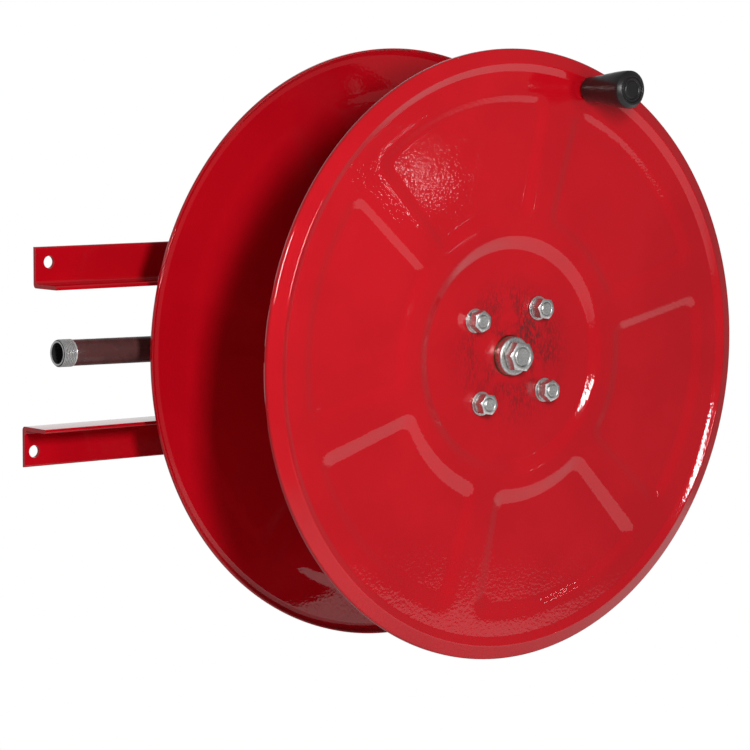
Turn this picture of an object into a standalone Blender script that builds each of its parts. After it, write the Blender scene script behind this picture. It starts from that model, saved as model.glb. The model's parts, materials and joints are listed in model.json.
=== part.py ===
"""Wall-hung fire hose reel, empty, as an assembly of separate pieces.

Metres, +Z up. The origin is where the reel's axis meets the wall, +Y points into the wall and
the reel's face looks along -Y. The pieces are drawn in the reel's own frame, whose z is the
distance out from the wall, and an empty turns that frame to face the room.
"""
from math import asin, atan2, cos, pi, radians, sin, sqrt, tau

import bmesh
import bpy
from mathutils import Matrix, Vector

# Clearance between pieces that touch or run on each other
GAP = 0.0003

# Pressed discs
DISC_R = 0.300
SHEET = 0.0015
FRONT_FIELD = 0.2595        # wall to the flat outer face of the front disc
REAR_FIELD = 0.0685         # wall to the flat outer face of the rear disc
RIM_BAND = 0.023            # disc edge to the foot of the rim bead
BEAD_CREST = 0.012          # disc edge to the top of the rim bead
BEAD_RISE = 0.0038
SHOULDER_IN = 0.006         # disc edge to the bead's outer shoulder
SHOULDER_RISE = 0.002
EDGE_DROP = 0.0017          # flat field down to where the return lip starts
LIP_LENGTH = 0.0055         # flat field down to the end of the lip
FIELD_BAND = 0.0185         # flat band between the bead and the panels
PANEL_COUNT = 6
PANEL_SINK = 0.005
PANEL_WALL = 0.014          # width of a panel's sloping wall
PANEL_CORNER = 0.014
PANEL_FLOOR_CORNER = 0.009
RIDGE_INNER = 0.020         # flat of the ridge between two panels, near the hub
RIDGE_OUTER = 0.030         # and near the rim
HUB_BAND = 0.0145           # flat band between the panels and the hub recess
HUB_SINK = 0.005
HUB_SLOPE = 0.0145          # width of the hub recess's sloping wall
HUB_FLOOR_MARGIN = 0.028    # hub flange's edge to the foot of that wall
FRONT_TURN = radians(15.5)  # a ridge's direction, counterclockwise from +X
REAR_TURN = radians(54)

# Hub and drum
BOLT_CIRCLE_R = 0.058
BOLT_COUNT = 4
BOLT_TURN = radians(51)
FLANGE_EDGE = 0.017         # bolt circle to the hub flange's edge
FLANGE_T = 0.006
HUB_WALL = 0.0075
DRUM_FIT = 0.0008           # drum to the pressed hub boss that locates it
DRUM_WALL = 0.002

# Tie bolts through both discs
BOLT_R = 0.006
BOLT_PLAY = 0.0005
BOLT_AF = 0.019
BOLT_HEAD = 0.0075
BOLT_END = 0.001            # thread standing out of the nut
NUT_H = 0.0095
WASHER_R = 0.012
WASHER_T = 0.0015
SPRING_R = 0.0108
SPRING_T = 0.002
SPRING_SLIT = 0.0025

# Spindle and bushes
JOURNAL_R = 0.015
BUSH_WALL = 0.002
BUSH_LENGTH = 0.045
BUSH_FLANGE = 0.0018        # width of the bush's flange beyond the hub bore
BUSH_FLANGE_T = 0.002
DISC_BORE_PLAY = 0.0005
THRUST_T = 0.003
SPINDLE_FLANGE_R = 0.020
SPINDLE_FLANGE_T = 0.005
SPINDLE_BORE_R = 0.0095
SPINDLE_PORT_R = 0.007
SPINDLE_THREAD_R = 0.0132
SPINDLE_THREAD_SHOWN = 0.004
SPINDLE_TIP_R = 0.009
TIP_CHAMFER = 0.001
COLLAR_R = 0.019
COLLAR_H = 0.0085
COLLAR_CHAMFER = 0.0008
SPINDLE_NUT_AF = 0.027
SPINDLE_NUT_H = 0.011
LOCKNUT_AF = 0.036
LOCKNUT_H = 0.008

# Hose outlet inside the drum
OUTLET_R = 0.013
OUTLET_BORE_R = 0.0095
OUTLET_BEND_R = 0.030
OUTLET_REACH = 0.062        # reel axis to the line of the hose tail
OUTLET_STRAIGHT = 0.010
OUTLET_ENTRY = 0.0105       # screwed length in the hub boss
BOSS_WALL = 0.006
TAIL_COLLAR_R = 0.0145
TAIL_COLLAR_H = 0.008
TAIL_SPIGOT = 0.008
TAIL_BORE_R = 0.0072
BARB_R = 0.011
BARB_ROOT_R = 0.0095
BARB_COUNT = 3
BARB_SLOPE = 0.7            # share of a barb's pitch that slopes
TAIL_CLEAR = 0.010          # tail's end to the drum
APERTURE_HALF = 0.021

# Crank grip
HANDLE_IN = 0.0235          # disc edge to the pin's axis
HANDLE_ANGLE = radians(70.35)
GRIP_LENGTH = 0.063
GRIP_BASE_R = 0.012
GRIP_END_R = 0.0185
GRIP_WAIST = 0.029          # base to the turn of the grip's curve
GRIP_WAIST_R = 0.0145
GRIP_ROUND = 0.002
GRIP_RIM = 0.0035           # chamfer at the outer end
GRIP_LIP = 0.0025           # ring round the end cap
CAP_DEPTH = 0.003
CAP_INSET = 0.0006
PIN_R = 0.005
PIN_SHOULDER_R = 0.006
PIN_HEAD_R = 0.0085
PIN_HEAD_H = 0.004
PIN_END = 0.002             # thread standing out of the handle nut
HEAD_ROOM = 0.0015          # pin head to the end cap
HANDLE_WASHER_R = 0.009
HANDLE_WASHER_T = 0.002
HANDLE_NUT_AF = 0.017
HANDLE_NUT_H = 0.008

# Wall frame
ANGLE_LEG = 0.040
ANGLE_T = 0.004
ANGLE_ROOT = 0.004
ANGLE_TOE = 0.002
BAR_SPREAD = 0.0666         # middle of the wall frame to the inner face of either bar
FRAME_LIFT = 0.0016         # reel axis up to the middle of the wall frame
BAR_NEAR = 0.388            # reel axis to one end of a bar
BAR_FAR = 0.402             # and to its other end
FIX_HOLE_R = 0.006
FIX_HOLE_RISE = 0.025       # bar's inner face to its fixing holes
FIX_HOLE_NEAR = 0.0155      # fixing hole to the near end
FIX_HOLE_FAR = 0.011        # fixing hole to the far end
CARRIER_HALF = 0.085
CARRIER_T = 0.004
CARRIER_BEND = 0.006
CARRIER_WALL_CLEAR = 0.006  # channel's lips to the wall
CARRIER_BOLT_IN = 0.025     # channel's end to the bolts that join it to the bars
CARRIER_BOLT_OUT = 0.024    # wall to those bolts
CARRIER_BOLT_R = 0.005
CARRIER_BOLT_AF = 0.017
CARRIER_HEAD = 0.0064
CARRIER_NUT_H = 0.008
CARRIER_BOLT_END = 0.0015

# Water inlet
PIPE_OUT = 0.022            # wall to the pipe's axis
PIPE_R = 0.0128
PIPE_BORE_R = 0.010
INLET_REACH = 0.376         # reel axis to the open end
INLET_THREAD_R = 0.0132
INLET_THREAD_LENGTH = 0.0155
INLET_TILT = radians(0.9)   # rise of the pipe towards its open end
ELBOW_ARM = 0.026
ELBOW_R = 0.0162            # pipe arm and its domed end
ELBOW_FRONT_R = 0.0154      # arm that holds the spindle
ELBOW_BAND_R = 0.018
ELBOW_BAND = 0.0065
ELBOW_SOCKET = 0.0115

# Facets round a full turn
LARGE_STEPS = 48
ROUND_STEPS = 20
ELBOW_STEPS = 16
SMALL_STEPS = 12
SPLIT_STEPS = 10            # round a spring washer
SEAL_STEPS = 5              # round a seal ring's section

# Facets along an arc
BEND_STEPS = 6
CORNER_STEPS = 3
TOE_STEPS = 2
SMOOTH_ANGLE = radians(35)  # edges sharper than this stay sharp

# Sizes that follow from those above
HUB_FLANGE_R = BOLT_CIRCLE_R + FLANGE_EDGE
HUB_FLOOR_R = HUB_FLANGE_R + HUB_FLOOR_MARGIN
HUB_RIM_R = HUB_FLOOR_R + HUB_SLOPE
PANEL_INNER_R = HUB_RIM_R + HUB_BAND
BEAD_FOOT_R = DISC_R - RIM_BAND
PANEL_OUTER_R = BEAD_FOOT_R - FIELD_BAND
DRUM_R = HUB_RIM_R + DRUM_FIT
DRUM_OUTER_R = DRUM_R + DRUM_WALL
BUSH_R = JOURNAL_R + GAP + BUSH_WALL
HUB_BORE_R = BUSH_R + GAP
HUB_TUBE_R = HUB_BORE_R + HUB_WALL
BUSH_FLANGE_R = HUB_BORE_R + BUSH_FLANGE
DISC_BORE_R = BUSH_FLANGE_R + DISC_BORE_PLAY
FRONT_INNER = FRONT_FIELD - SHEET
REAR_INNER = REAR_FIELD + SHEET
FRONT_FLOOR = FRONT_FIELD - HUB_SINK
REAR_FLOOR = REAR_FIELD + HUB_SINK
HUB_FRONT = FRONT_FLOOR - SHEET - GAP
HUB_REAR = REAR_FLOOR + SHEET + GAP
OUTLET_OUT = (FRONT_FIELD + REAR_FIELD) / 2
JOURNAL_FRONT = HUB_FRONT + GAP + BUSH_FLANGE_T
COLLAR_LOW = JOURNAL_FRONT + GAP
SPINDLE_NUT_LOW = COLLAR_LOW + COLLAR_H + GAP
SPINDLE_TIP = SPINDLE_NUT_LOW + SPINDLE_NUT_H
THRUST_LOW = HUB_REAR - GAP - BUSH_FLANGE_T - GAP - THRUST_T
SPINDLE_FLANGE_TOP = THRUST_LOW - GAP
SPINDLE_FLANGE_LOW = SPINDLE_FLANGE_TOP - SPINDLE_FLANGE_T
WEB_FRONT = SPINDLE_FLANGE_LOW - SPINDLE_THREAD_SHOWN - LOCKNUT_H - GAP
WEB_BACK = WEB_FRONT - CARRIER_T
ELBOW_FACE = WEB_BACK - GAP
SPINDLE_ROOT = ELBOW_FACE - ELBOW_SOCKET
BOSS_END = OUTLET_REACH - OUTLET_BEND_R
HANDLE_R = DISC_R - HANDLE_IN
CARRIER_BOLT_X = CARRIER_HALF - CARRIER_BOLT_IN

# Colour, roughness and metallic value of each finish
LOOKS = {
    "red_paint": ((0.52, 0.012, 0.016), 0.22, 0.0),
    "maroon_paint": ((0.065, 0.014, 0.017), 0.4, 0.0),
    "zinc": ((0.62, 0.62, 0.60), 0.28, 1.0),
    "galvanised": ((0.50, 0.51, 0.50), 0.4, 1.0),
    "cast_iron": ((0.09, 0.085, 0.08), 0.6, 0.5),
    "bronze": ((0.50, 0.33, 0.14), 0.35, 1.0),
    "brass": ((0.62, 0.47, 0.18), 0.3, 1.0),
    "black_plastic": ((0.012, 0.012, 0.013), 0.3, 0.0),
    "rubber": ((0.02, 0.02, 0.02), 0.8, 0.0),
}


def new_collection(name):
    collection = bpy.data.collections.new(name)
    bpy.context.scene.collection.children.link(collection)
    return collection


def new_empty(name, parent=None, location=(0, 0, 0), rotation=(0, 0, 0)):
    empty = bpy.data.objects.new(name, None)
    parts.objects.link(empty)
    empty.parent = parent
    empty.location = location
    empty.rotation_euler = rotation
    return empty


def finish(piece, look):
    """Give a piece its own Principled material."""
    colour, roughness, metallic = LOOKS[look]
    material = bpy.data.materials.new(f"{piece.name}_{look}")
    material.use_nodes = True
    shader = material.node_tree.nodes["Principled BSDF"]
    shader.inputs["Base Color"].default_value = (*colour, 1)
    shader.inputs["Roughness"].default_value = roughness
    shader.inputs["Metallic"].default_value = metallic
    piece.data.materials.append(material)


def add(name, data, parent, look=None, location=(0, 0, 0), rotation=(0, 0, 0)):
    """Link a piece to the model, or a cutter where no look is given."""
    piece = bpy.data.objects.new(name, data)
    piece.parent = parent
    piece.location = location
    piece.rotation_euler = rotation
    if look:
        parts.objects.link(piece)
        if not data.materials:
            finish(piece, look)
    else:
        cutters.objects.link(piece)
        piece.hide_render = True
        piece.display_type = "WIRE"
    return piece


def smooth(mesh):
    mesh.shade_smooth()
    mesh.set_sharp_from_angle(angle=SMOOTH_ANGLE)


def evaluated_mesh(piece):
    """Mesh of an object as its modifiers or its curve shape it, welded."""
    bpy.context.view_layer.update()
    graph = bpy.context.evaluated_depsgraph_get()
    mesh = bpy.data.meshes.new_from_object(piece.evaluated_get(graph))
    work = bmesh.new()
    work.from_mesh(mesh)
    bmesh.ops.remove_doubles(work, verts=work.verts, dist=1e-6)
    bmesh.ops.recalc_face_normals(work, faces=work.faces)
    work.to_mesh(mesh)
    work.free()
    return mesh


def circle(radius, steps, centre=(0, 0)):
    angles = [tau * step / steps for step in range(steps)]
    return [(centre[0] + radius * cos(a), centre[1] + radius * sin(a)) for a in angles]


def arc(centre, radius, start, end, steps):
    angles = [start + (end - start) * step / steps for step in range(steps + 1)]
    return [Vector((centre[0] + radius * cos(a), centre[1] + radius * sin(a))) for a in angles]


def prism(outlines, low, high):
    """Mesh of a flat outline, with any holes, between two heights."""
    curve = bpy.data.curves.new("outline", "CURVE")
    curve.dimensions = "2D"
    curve.fill_mode = "BOTH"
    curve.extrude = (high - low) / 2
    for outline in outlines:
        spline = curve.splines.new("POLY")
        spline.points.add(len(outline) - 1)
        for point, (x, y) in zip(spline.points, outline):
            point.co = (x, y, 0, 1)
        spline.use_cyclic_u = True
    drawn = bpy.data.objects.new("outline", curve)
    cutters.objects.link(drawn)
    mesh = evaluated_mesh(drawn)
    bpy.data.objects.remove(drawn)
    mesh.transform(Matrix.Translation((0, 0, (high + low) / 2)))
    smooth(mesh)
    return mesh


def hexagon(across_flats, bore, steps=SMALL_STEPS):
    """Outlines of a hexagon with a round bore."""
    return [circle(across_flats / sqrt(3), 6), circle(bore, steps)]


def cylinder(radius, low, high, steps=SMALL_STEPS, centre=(0, 0)):
    work = bmesh.new()
    place = Matrix.Translation((*centre, (low + high) / 2))
    bmesh.ops.create_cone(work, cap_ends=True, segments=steps, radius1=radius, radius2=radius,
                          depth=high - low, matrix=place)
    mesh = bpy.data.meshes.new("cylinder")
    work.to_mesh(mesh)
    work.free()
    smooth(mesh)
    return mesh


def box(low, high):
    work = bmesh.new()
    size = Vector(high) - Vector(low)
    place = Matrix.Translation((Vector(high) + Vector(low)) / 2) @ Matrix.Diagonal((*size, 1))
    bmesh.ops.create_cube(work, size=1, matrix=place)
    mesh = bpy.data.meshes.new("box")
    work.to_mesh(mesh)
    work.free()
    return mesh


def turned(name, profile, parent, look=None, steps=ROUND_STEPS, **place):
    """Turn a profile of (radius, height) about z. One that starts on the axis stays open."""
    mesh = bpy.data.meshes.new(name)
    work = bmesh.new()
    points = [work.verts.new((radius, 0, height)) for radius, height in profile]
    for first, second in zip(points, points[1:]):
        work.edges.new((first, second))
    if profile[0][0] > 0:
        work.edges.new((points[-1], points[0]))
    work.to_mesh(mesh)
    work.free()
    piece = add(name, mesh, parent, look, **place)
    screw = piece.modifiers.new("turn", "SCREW")
    screw.steps = steps
    screw.render_steps = steps
    screw.use_merge_vertices = True
    screw.merge_threshold = 1e-6
    screw.use_smooth_shade = True
    return piece


def ring(inner, outer, low, high):
    """Profile of a plain ring, down its outer side and up its bore."""
    return [(outer, high), (outer, low), (inner, low), (inner, high)]


def combine(piece, other, operation):
    boolean = piece.modifiers.new(other.name, "BOOLEAN")
    boolean.operation = operation
    boolean.solver = "EXACT"
    boolean.object = other


def cut(piece, mesh, **place):
    combine(piece, add(f"{piece.name}_cut", mesh, piece.parent, **place), "DIFFERENCE")


def join(piece, mesh, **place):
    combine(piece, add(f"{piece.name}_join", mesh, piece.parent, **place), "UNION")


def pattern(name, mesh, places, parent, look):
    """A numbered object at every place, all of one mesh."""
    for number, place in enumerate(places, 1):
        copy = add(f"{name}_{number}", mesh, parent, look)
        copy.matrix_basis = place


def bolt(across_flats, head_low, head_high, radius, end):
    """Hexagon head between two heights, with its shank running up or down to its end."""
    sink = (head_high - head_low) / 2
    head = add("head", prism([circle(across_flats / sqrt(3), 6)], head_low, head_high), None)
    if end > head_high:
        shank = cylinder(radius, head_high - sink, end)
    else:
        shank = cylinder(radius, end, head_low + sink)
    stem = add("stem", shank, None)
    combine(head, stem, "UNION")
    mesh = evaluated_mesh(head)
    bpy.data.objects.remove(head)
    bpy.data.objects.remove(stem)
    return mesh


def bolt_places():
    """Places of the tie bolts on their circle, with a corner of each hexagon facing outwards."""
    turns = [BOLT_TURN + tau * step / BOLT_COUNT for step in range(BOLT_COUNT)]
    out = Matrix.Translation((BOLT_CIRCLE_R, 0, 0))
    return [Matrix.Rotation(turn, 4, "Z") @ out for turn in turns]


# Pressed discs

def panel_outline(inset, sink_corner):
    """Outline of the recessed panel that lies along +X, moved in by the given amount."""
    inner = PANEL_INNER_R + inset
    outer = PANEL_OUTER_R - inset
    half = pi / PANEL_COUNT
    at_inner = half - asin((RIDGE_INNER / 2 + inset) / inner)
    at_outer = half - asin((RIDGE_OUTER / 2 + inset) / outer)
    start = inner * Vector((cos(at_inner), sin(at_inner)))
    end = outer * Vector((cos(at_outer), sin(at_outer)))
    along = (end - start).normalized()
    inward = Vector((along.y, -along.x))

    def corner_centre(radius):
        offset = start + inward * sink_corner
        lean = offset.dot(along)
        return offset + along * (sqrt(lean ** 2 - offset.length_squared + radius ** 2) - lean)

    outer_centre = corner_centre(outer - sink_corner)
    inner_centre = corner_centre(inner + sink_corner)
    outer_turn = atan2(outer_centre.y, outer_centre.x)
    inner_turn = atan2(inner_centre.y, inner_centre.x)
    side_turn = atan2(-inward.y, -inward.x)
    upper = arc((0, 0), outer, 0, outer_turn, CORNER_STEPS)[:-1]
    upper += arc(outer_centre, sink_corner, outer_turn, side_turn, CORNER_STEPS)
    upper += arc(inner_centre, sink_corner, side_turn, inner_turn + pi, CORNER_STEPS)
    upper += arc((0, 0), inner, inner_turn, 0, TOE_STEPS)[1:]
    lower = [Vector((point.x, -point.y)) for point in reversed(upper[1:-1])]
    return upper + lower


def rim_profile():
    """Radius and rise of the skin from the bead's foot over its crest to the return lip."""
    return [
        (BEAD_FOOT_R, 0),
        (DISC_R - BEAD_CREST, BEAD_RISE),
        (DISC_R - SHOULDER_IN, SHOULDER_RISE),
        (DISC_R, -EDGE_DROP),
        (DISC_R, -LIP_LENGTH),
    ]


def rim_rise(radius):
    """Height of the bead's skin above the field at a radius."""
    profile = rim_profile()
    for (near, low), (far, high) in zip(profile, profile[1:]):
        if near <= radius < far:
            return low + (high - low) * (radius - near) / (far - near)
    return 0


def pressed_disc(name, field, outward, turn):
    """One sheet with a beaded rim, six sunk panels and a sunk hub, thickened inwards."""
    work = bmesh.new()

    def loop(outline, rise):
        points = [work.verts.new((x, y, field + outward * rise)) for x, y in outline]
        return [work.edges.new(pair) for pair in zip(points, points[1:] + points[:1])]

    rim = [loop(circle(radius, LARGE_STEPS), rise) for radius, rise in rim_profile()]
    hub_rim = loop(circle(HUB_RIM_R, LARGE_STEPS), 0)
    hub_floor = loop(circle(HUB_FLOOR_R, LARGE_STEPS), -HUB_SINK)
    field_edges = rim[0] + hub_rim
    walls = [(hub_rim, hub_floor)] + list(zip(rim, rim[1:]))
    for panel in range(PANEL_COUNT):
        middle = turn + tau * (panel + 0.5) / PANEL_COUNT
        spin = Matrix.Rotation(middle, 2)
        top = loop([spin @ point for point in panel_outline(0, PANEL_CORNER)], 0)
        floor_points = panel_outline(PANEL_WALL, PANEL_FLOOR_CORNER)
        floor = loop([spin @ point for point in floor_points], -PANEL_SINK)
        field_edges = field_edges + top
        walls.append((top, floor))
        bmesh.ops.triangle_fill(work, edges=floor, use_beauty=True)
    hub_edges = hub_floor + loop(circle(DISC_BORE_R, ROUND_STEPS), -HUB_SINK)
    for place in bolt_places():
        hole = circle(BOLT_R + BOLT_PLAY, SMALL_STEPS)
        hub_edges += loop([(place @ Vector((x, y, 0))).to_2d() for x, y in hole], -HUB_SINK)
    bmesh.ops.triangle_fill(work, edges=field_edges, use_beauty=True)
    bmesh.ops.triangle_fill(work, edges=hub_edges, use_beauty=True)
    for first, second in walls:
        bmesh.ops.bridge_loops(work, edges=first + second)
    bmesh.ops.recalc_face_normals(work, faces=work.faces)
    if rim[0][0].link_faces[0].normal.z * outward < 0:
        bmesh.ops.reverse_faces(work, faces=work.faces)
    mesh = bpy.data.meshes.new(name)
    work.to_mesh(mesh)
    work.free()
    smooth(mesh)
    disc = add(name, mesh, reel_axis, "red_paint")
    sheet = disc.modifiers.new("sheet", "SOLIDIFY")
    sheet.thickness = SHEET
    sheet.offset = -1
    sheet.use_even_offset = True
    return disc


def discs():
    front = pressed_disc("front_disc", FRONT_FIELD, 1, FRONT_TURN)
    pressed_disc("rear_disc", REAR_FIELD, -1, REAR_TURN)
    pin_hole = cylinder(PIN_R + BOLT_PLAY, FRONT_INNER - SHEET, FRONT_FIELD + 2 * BEAD_RISE)
    cut(front, pin_hole, location=handle_point())


def tie_bolts():
    """Bolts through both hub flanges: heads behind the rear disc, nuts before the front one."""
    bore = BOLT_R + GAP
    slit = asin(SPRING_SLIT / 2 / SPRING_R)
    split = arc((0, 0), SPRING_R, slit, tau - slit, SPLIT_STEPS)
    split += arc((0, 0), bore, tau - slit, slit, SPLIT_STEPS)
    washer = [circle(WASHER_R, SMALL_STEPS), circle(bore, SMALL_STEPS)]
    stack = (
        ("front_washer", washer, WASHER_T),
        ("spring_washer", [split], SPRING_T),
        ("tie_nut", hexagon(BOLT_AF, bore), NUT_H),
    )
    top = FRONT_FLOOR
    for name, outline, height in stack:
        low = top + GAP
        top = low + height
        pattern(name, prism(outline, low, top), bolt_places(), reel_axis, "zinc")
    rear = REAR_FLOOR - GAP
    pattern("rear_washer", prism(washer, rear - WASHER_T, rear), bolt_places(), reel_axis, "zinc")
    head = rear - WASHER_T - GAP
    stem = bolt(BOLT_AF, head - BOLT_HEAD, head, BOLT_R, top + BOLT_END)
    pattern("tie_bolt", stem, bolt_places(), reel_axis, "zinc")


# Hub, drum and hose outlet

def hub():
    profile = [
        (HUB_FLANGE_R, HUB_FRONT), (HUB_FLANGE_R, HUB_FRONT - FLANGE_T),
        (HUB_TUBE_R, HUB_FRONT - FLANGE_T), (HUB_TUBE_R, HUB_REAR + FLANGE_T),
        (HUB_FLANGE_R, HUB_REAR + FLANGE_T), (HUB_FLANGE_R, HUB_REAR),
        (HUB_BORE_R, HUB_REAR), (HUB_BORE_R, HUB_FRONT),
    ]
    piece = turned("hub", profile, reel_axis, "cast_iron")
    sideways = {"location": (0, 0, OUTLET_OUT), "rotation": (0, -pi / 2, 0)}
    boss = cylinder(OUTLET_R + GAP + BOSS_WALL, HUB_BORE_R + GAP, BOSS_END, ROUND_STEPS)
    join(piece, boss, **sideways)
    cut(piece, cylinder(OUTLET_BORE_R, 0, BOSS_END), **sideways)
    socket = cylinder(OUTLET_R + GAP, BOSS_END - OUTLET_ENTRY - GAP, 2 * BOSS_END, ROUND_STEPS)
    cut(piece, socket, **sideways)
    for place in bolt_places():
        hole = cylinder(BOLT_R + BOLT_PLAY, HUB_REAR - FLANGE_T, HUB_FRONT + FLANGE_T)
        hole.transform(place)
        cut(piece, hole)


def drum():
    wall = ring(DRUM_R, DRUM_OUTER_R, REAR_INNER + GAP, FRONT_INNER - GAP)
    core = turned("drum_core", wall, reel_axis, "red_paint", LARGE_STEPS)
    near = (-OUTLET_REACH - APERTURE_HALF, -2 * DRUM_OUTER_R, OUTLET_OUT - APERTURE_HALF)
    far = (-OUTLET_REACH + APERTURE_HALF, -DRUM_R / 2, OUTLET_OUT + APERTURE_HALF)
    cut(core, box(near, far))


def tube(path, radius):
    """Mesh of a round bar along a path."""
    curve = bpy.data.curves.new("path", "CURVE")
    curve.dimensions = "3D"
    curve.bevel_depth = radius
    curve.bevel_resolution = 3
    curve.use_fill_caps = True
    spline = curve.splines.new("POLY")
    spline.points.add(len(path) - 1)
    for point, place in zip(spline.points, path):
        point.co = (*place, 1)
    drawn = bpy.data.objects.new("path", curve)
    cutters.objects.link(drawn)
    mesh = evaluated_mesh(drawn)
    bpy.data.objects.remove(drawn)
    smooth(mesh)
    return mesh


def hose_outlet():
    """Bent pipe from the hub boss, and the barbed tail that points at the drum's aperture."""
    def route(overrun):
        bend = arc((-BOSS_END, -OUTLET_BEND_R), OUTLET_BEND_R, pi / 2, pi, BEND_STEPS)
        start = (-BOSS_END + OUTLET_ENTRY + overrun, 0)
        stop = (-OUTLET_REACH, -OUTLET_BEND_R - OUTLET_STRAIGHT - overrun)
        return [(*point, OUTLET_OUT) for point in [start, *bend, stop]]

    outlet = add("hose_outlet", tube(route(0), OUTLET_R), reel_axis, "galvanised")
    cut(outlet, tube(route(OUTLET_ENTRY), OUTLET_BORE_R))

    collar = OUTLET_BEND_R + OUTLET_STRAIGHT + GAP
    neck = collar + TAIL_COLLAR_H
    end = sqrt((DRUM_R - TAIL_CLEAR) ** 2 - (OUTLET_REACH + BARB_R) ** 2)
    pitch = (end - neck) / BARB_COUNT
    profile = []
    for barb in range(BARB_COUNT):
        edge = end - (barb + BARB_SLOPE) * pitch
        profile += [(BARB_ROOT_R, end - barb * pitch), (BARB_R, edge), (BARB_ROOT_R, edge)]
    spigot = OUTLET_BORE_R - 2 * GAP
    profile += [
        (BARB_ROOT_R, neck), (TAIL_COLLAR_R, neck), (TAIL_COLLAR_R, collar),
        (spigot, collar), (spigot, collar - TAIL_SPIGOT),
        (TAIL_BORE_R, collar - TAIL_SPIGOT), (TAIL_BORE_R, end),
    ]
    turned("hose_tail", profile, reel_axis, "brass", SMALL_STEPS,
           location=(-OUTLET_REACH, 0, OUTLET_OUT), rotation=(pi / 2, 0, 0))


# Spindle, bushes and seals

def bushes_and_seals():
    bore = JOURNAL_R + GAP
    front = [
        (BUSH_FLANGE_R, JOURNAL_FRONT), (BUSH_FLANGE_R, HUB_FRONT + GAP),
        (BUSH_R, HUB_FRONT + GAP), (BUSH_R, HUB_FRONT - BUSH_LENGTH),
        (bore, HUB_FRONT - BUSH_LENGTH), (bore, JOURNAL_FRONT),
    ]
    flange = HUB_REAR - GAP
    rear = [
        (BUSH_R, HUB_REAR + BUSH_LENGTH), (BUSH_R, flange),
        (BUSH_FLANGE_R, flange), (BUSH_FLANGE_R, flange - BUSH_FLANGE_T),
        (bore, flange - BUSH_FLANGE_T), (bore, HUB_REAR + BUSH_LENGTH),
    ]
    turned("front_bush", front, reel_axis, "bronze")
    turned("rear_bush", rear, reel_axis, "bronze")
    cord = (HUB_BORE_R - JOURNAL_R) / 2 - GAP
    middle = (HUB_BORE_R + JOURNAL_R) / 2
    seat = BUSH_LENGTH + GAP + cord
    for name, height in (("front_seal_ring", HUB_FRONT - seat), ("rear_seal_ring", HUB_REAR + seat)):
        section = [(middle + x, height - y) for x, y in circle(cord, SEAL_STEPS)]
        turned(name, section, reel_axis, "rubber")


def spindle():
    """Fixed hollow spindle, its rear end screwed into the elbow and its tip carrying the nut."""
    bore_end = OUTLET_OUT + 2 * SPINDLE_PORT_R
    profile = [
        (0, SPINDLE_TIP), (SPINDLE_TIP_R - TIP_CHAMFER, SPINDLE_TIP),
        (SPINDLE_TIP_R, SPINDLE_TIP - TIP_CHAMFER), (SPINDLE_TIP_R, JOURNAL_FRONT),
        (JOURNAL_R, JOURNAL_FRONT), (JOURNAL_R, SPINDLE_FLANGE_TOP),
        (SPINDLE_FLANGE_R, SPINDLE_FLANGE_TOP), (SPINDLE_FLANGE_R, SPINDLE_FLANGE_LOW),
        (SPINDLE_THREAD_R, SPINDLE_FLANGE_LOW), (SPINDLE_THREAD_R, SPINDLE_ROOT),
        (SPINDLE_BORE_R, SPINDLE_ROOT), (SPINDLE_BORE_R, bore_end), (0, bore_end),
    ]
    piece = turned("spindle", profile, wall_axis, "zinc")
    port = cylinder(SPINDLE_PORT_R, -2 * JOURNAL_R, 2 * JOURNAL_R)
    cut(piece, port, location=(0, 0, OUTLET_OUT), rotation=(0, pi / 2, 0))

    collar_top = COLLAR_LOW + COLLAR_H
    bore = SPINDLE_TIP_R + GAP
    collar = [
        (COLLAR_R - COLLAR_CHAMFER, collar_top), (COLLAR_R, collar_top - COLLAR_CHAMFER),
        (COLLAR_R, COLLAR_LOW), (bore, COLLAR_LOW), (bore, collar_top),
    ]
    turned("spindle_collar", collar, wall_axis, "zinc")
    nut = prism(hexagon(SPINDLE_NUT_AF, bore, ROUND_STEPS), SPINDLE_NUT_LOW, SPINDLE_TIP)
    add("spindle_nut", nut, wall_axis, "zinc")
    thrust = ring(JOURNAL_R + GAP, BUSH_FLANGE_R, THRUST_LOW, THRUST_LOW + THRUST_T)
    turned("rear_thrust_washer", thrust, wall_axis, "bronze")
    low = WEB_FRONT + GAP
    locknut = hexagon(LOCKNUT_AF, SPINDLE_THREAD_R + GAP, ROUND_STEPS)
    add("spindle_locknut", prism(locknut, low, low + LOCKNUT_H), wall_axis, "zinc")


# Crank grip

def handle_point():
    return (HANDLE_R * cos(HANDLE_ANGLE), HANDLE_R * sin(HANDLE_ANGLE), 0)


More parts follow.
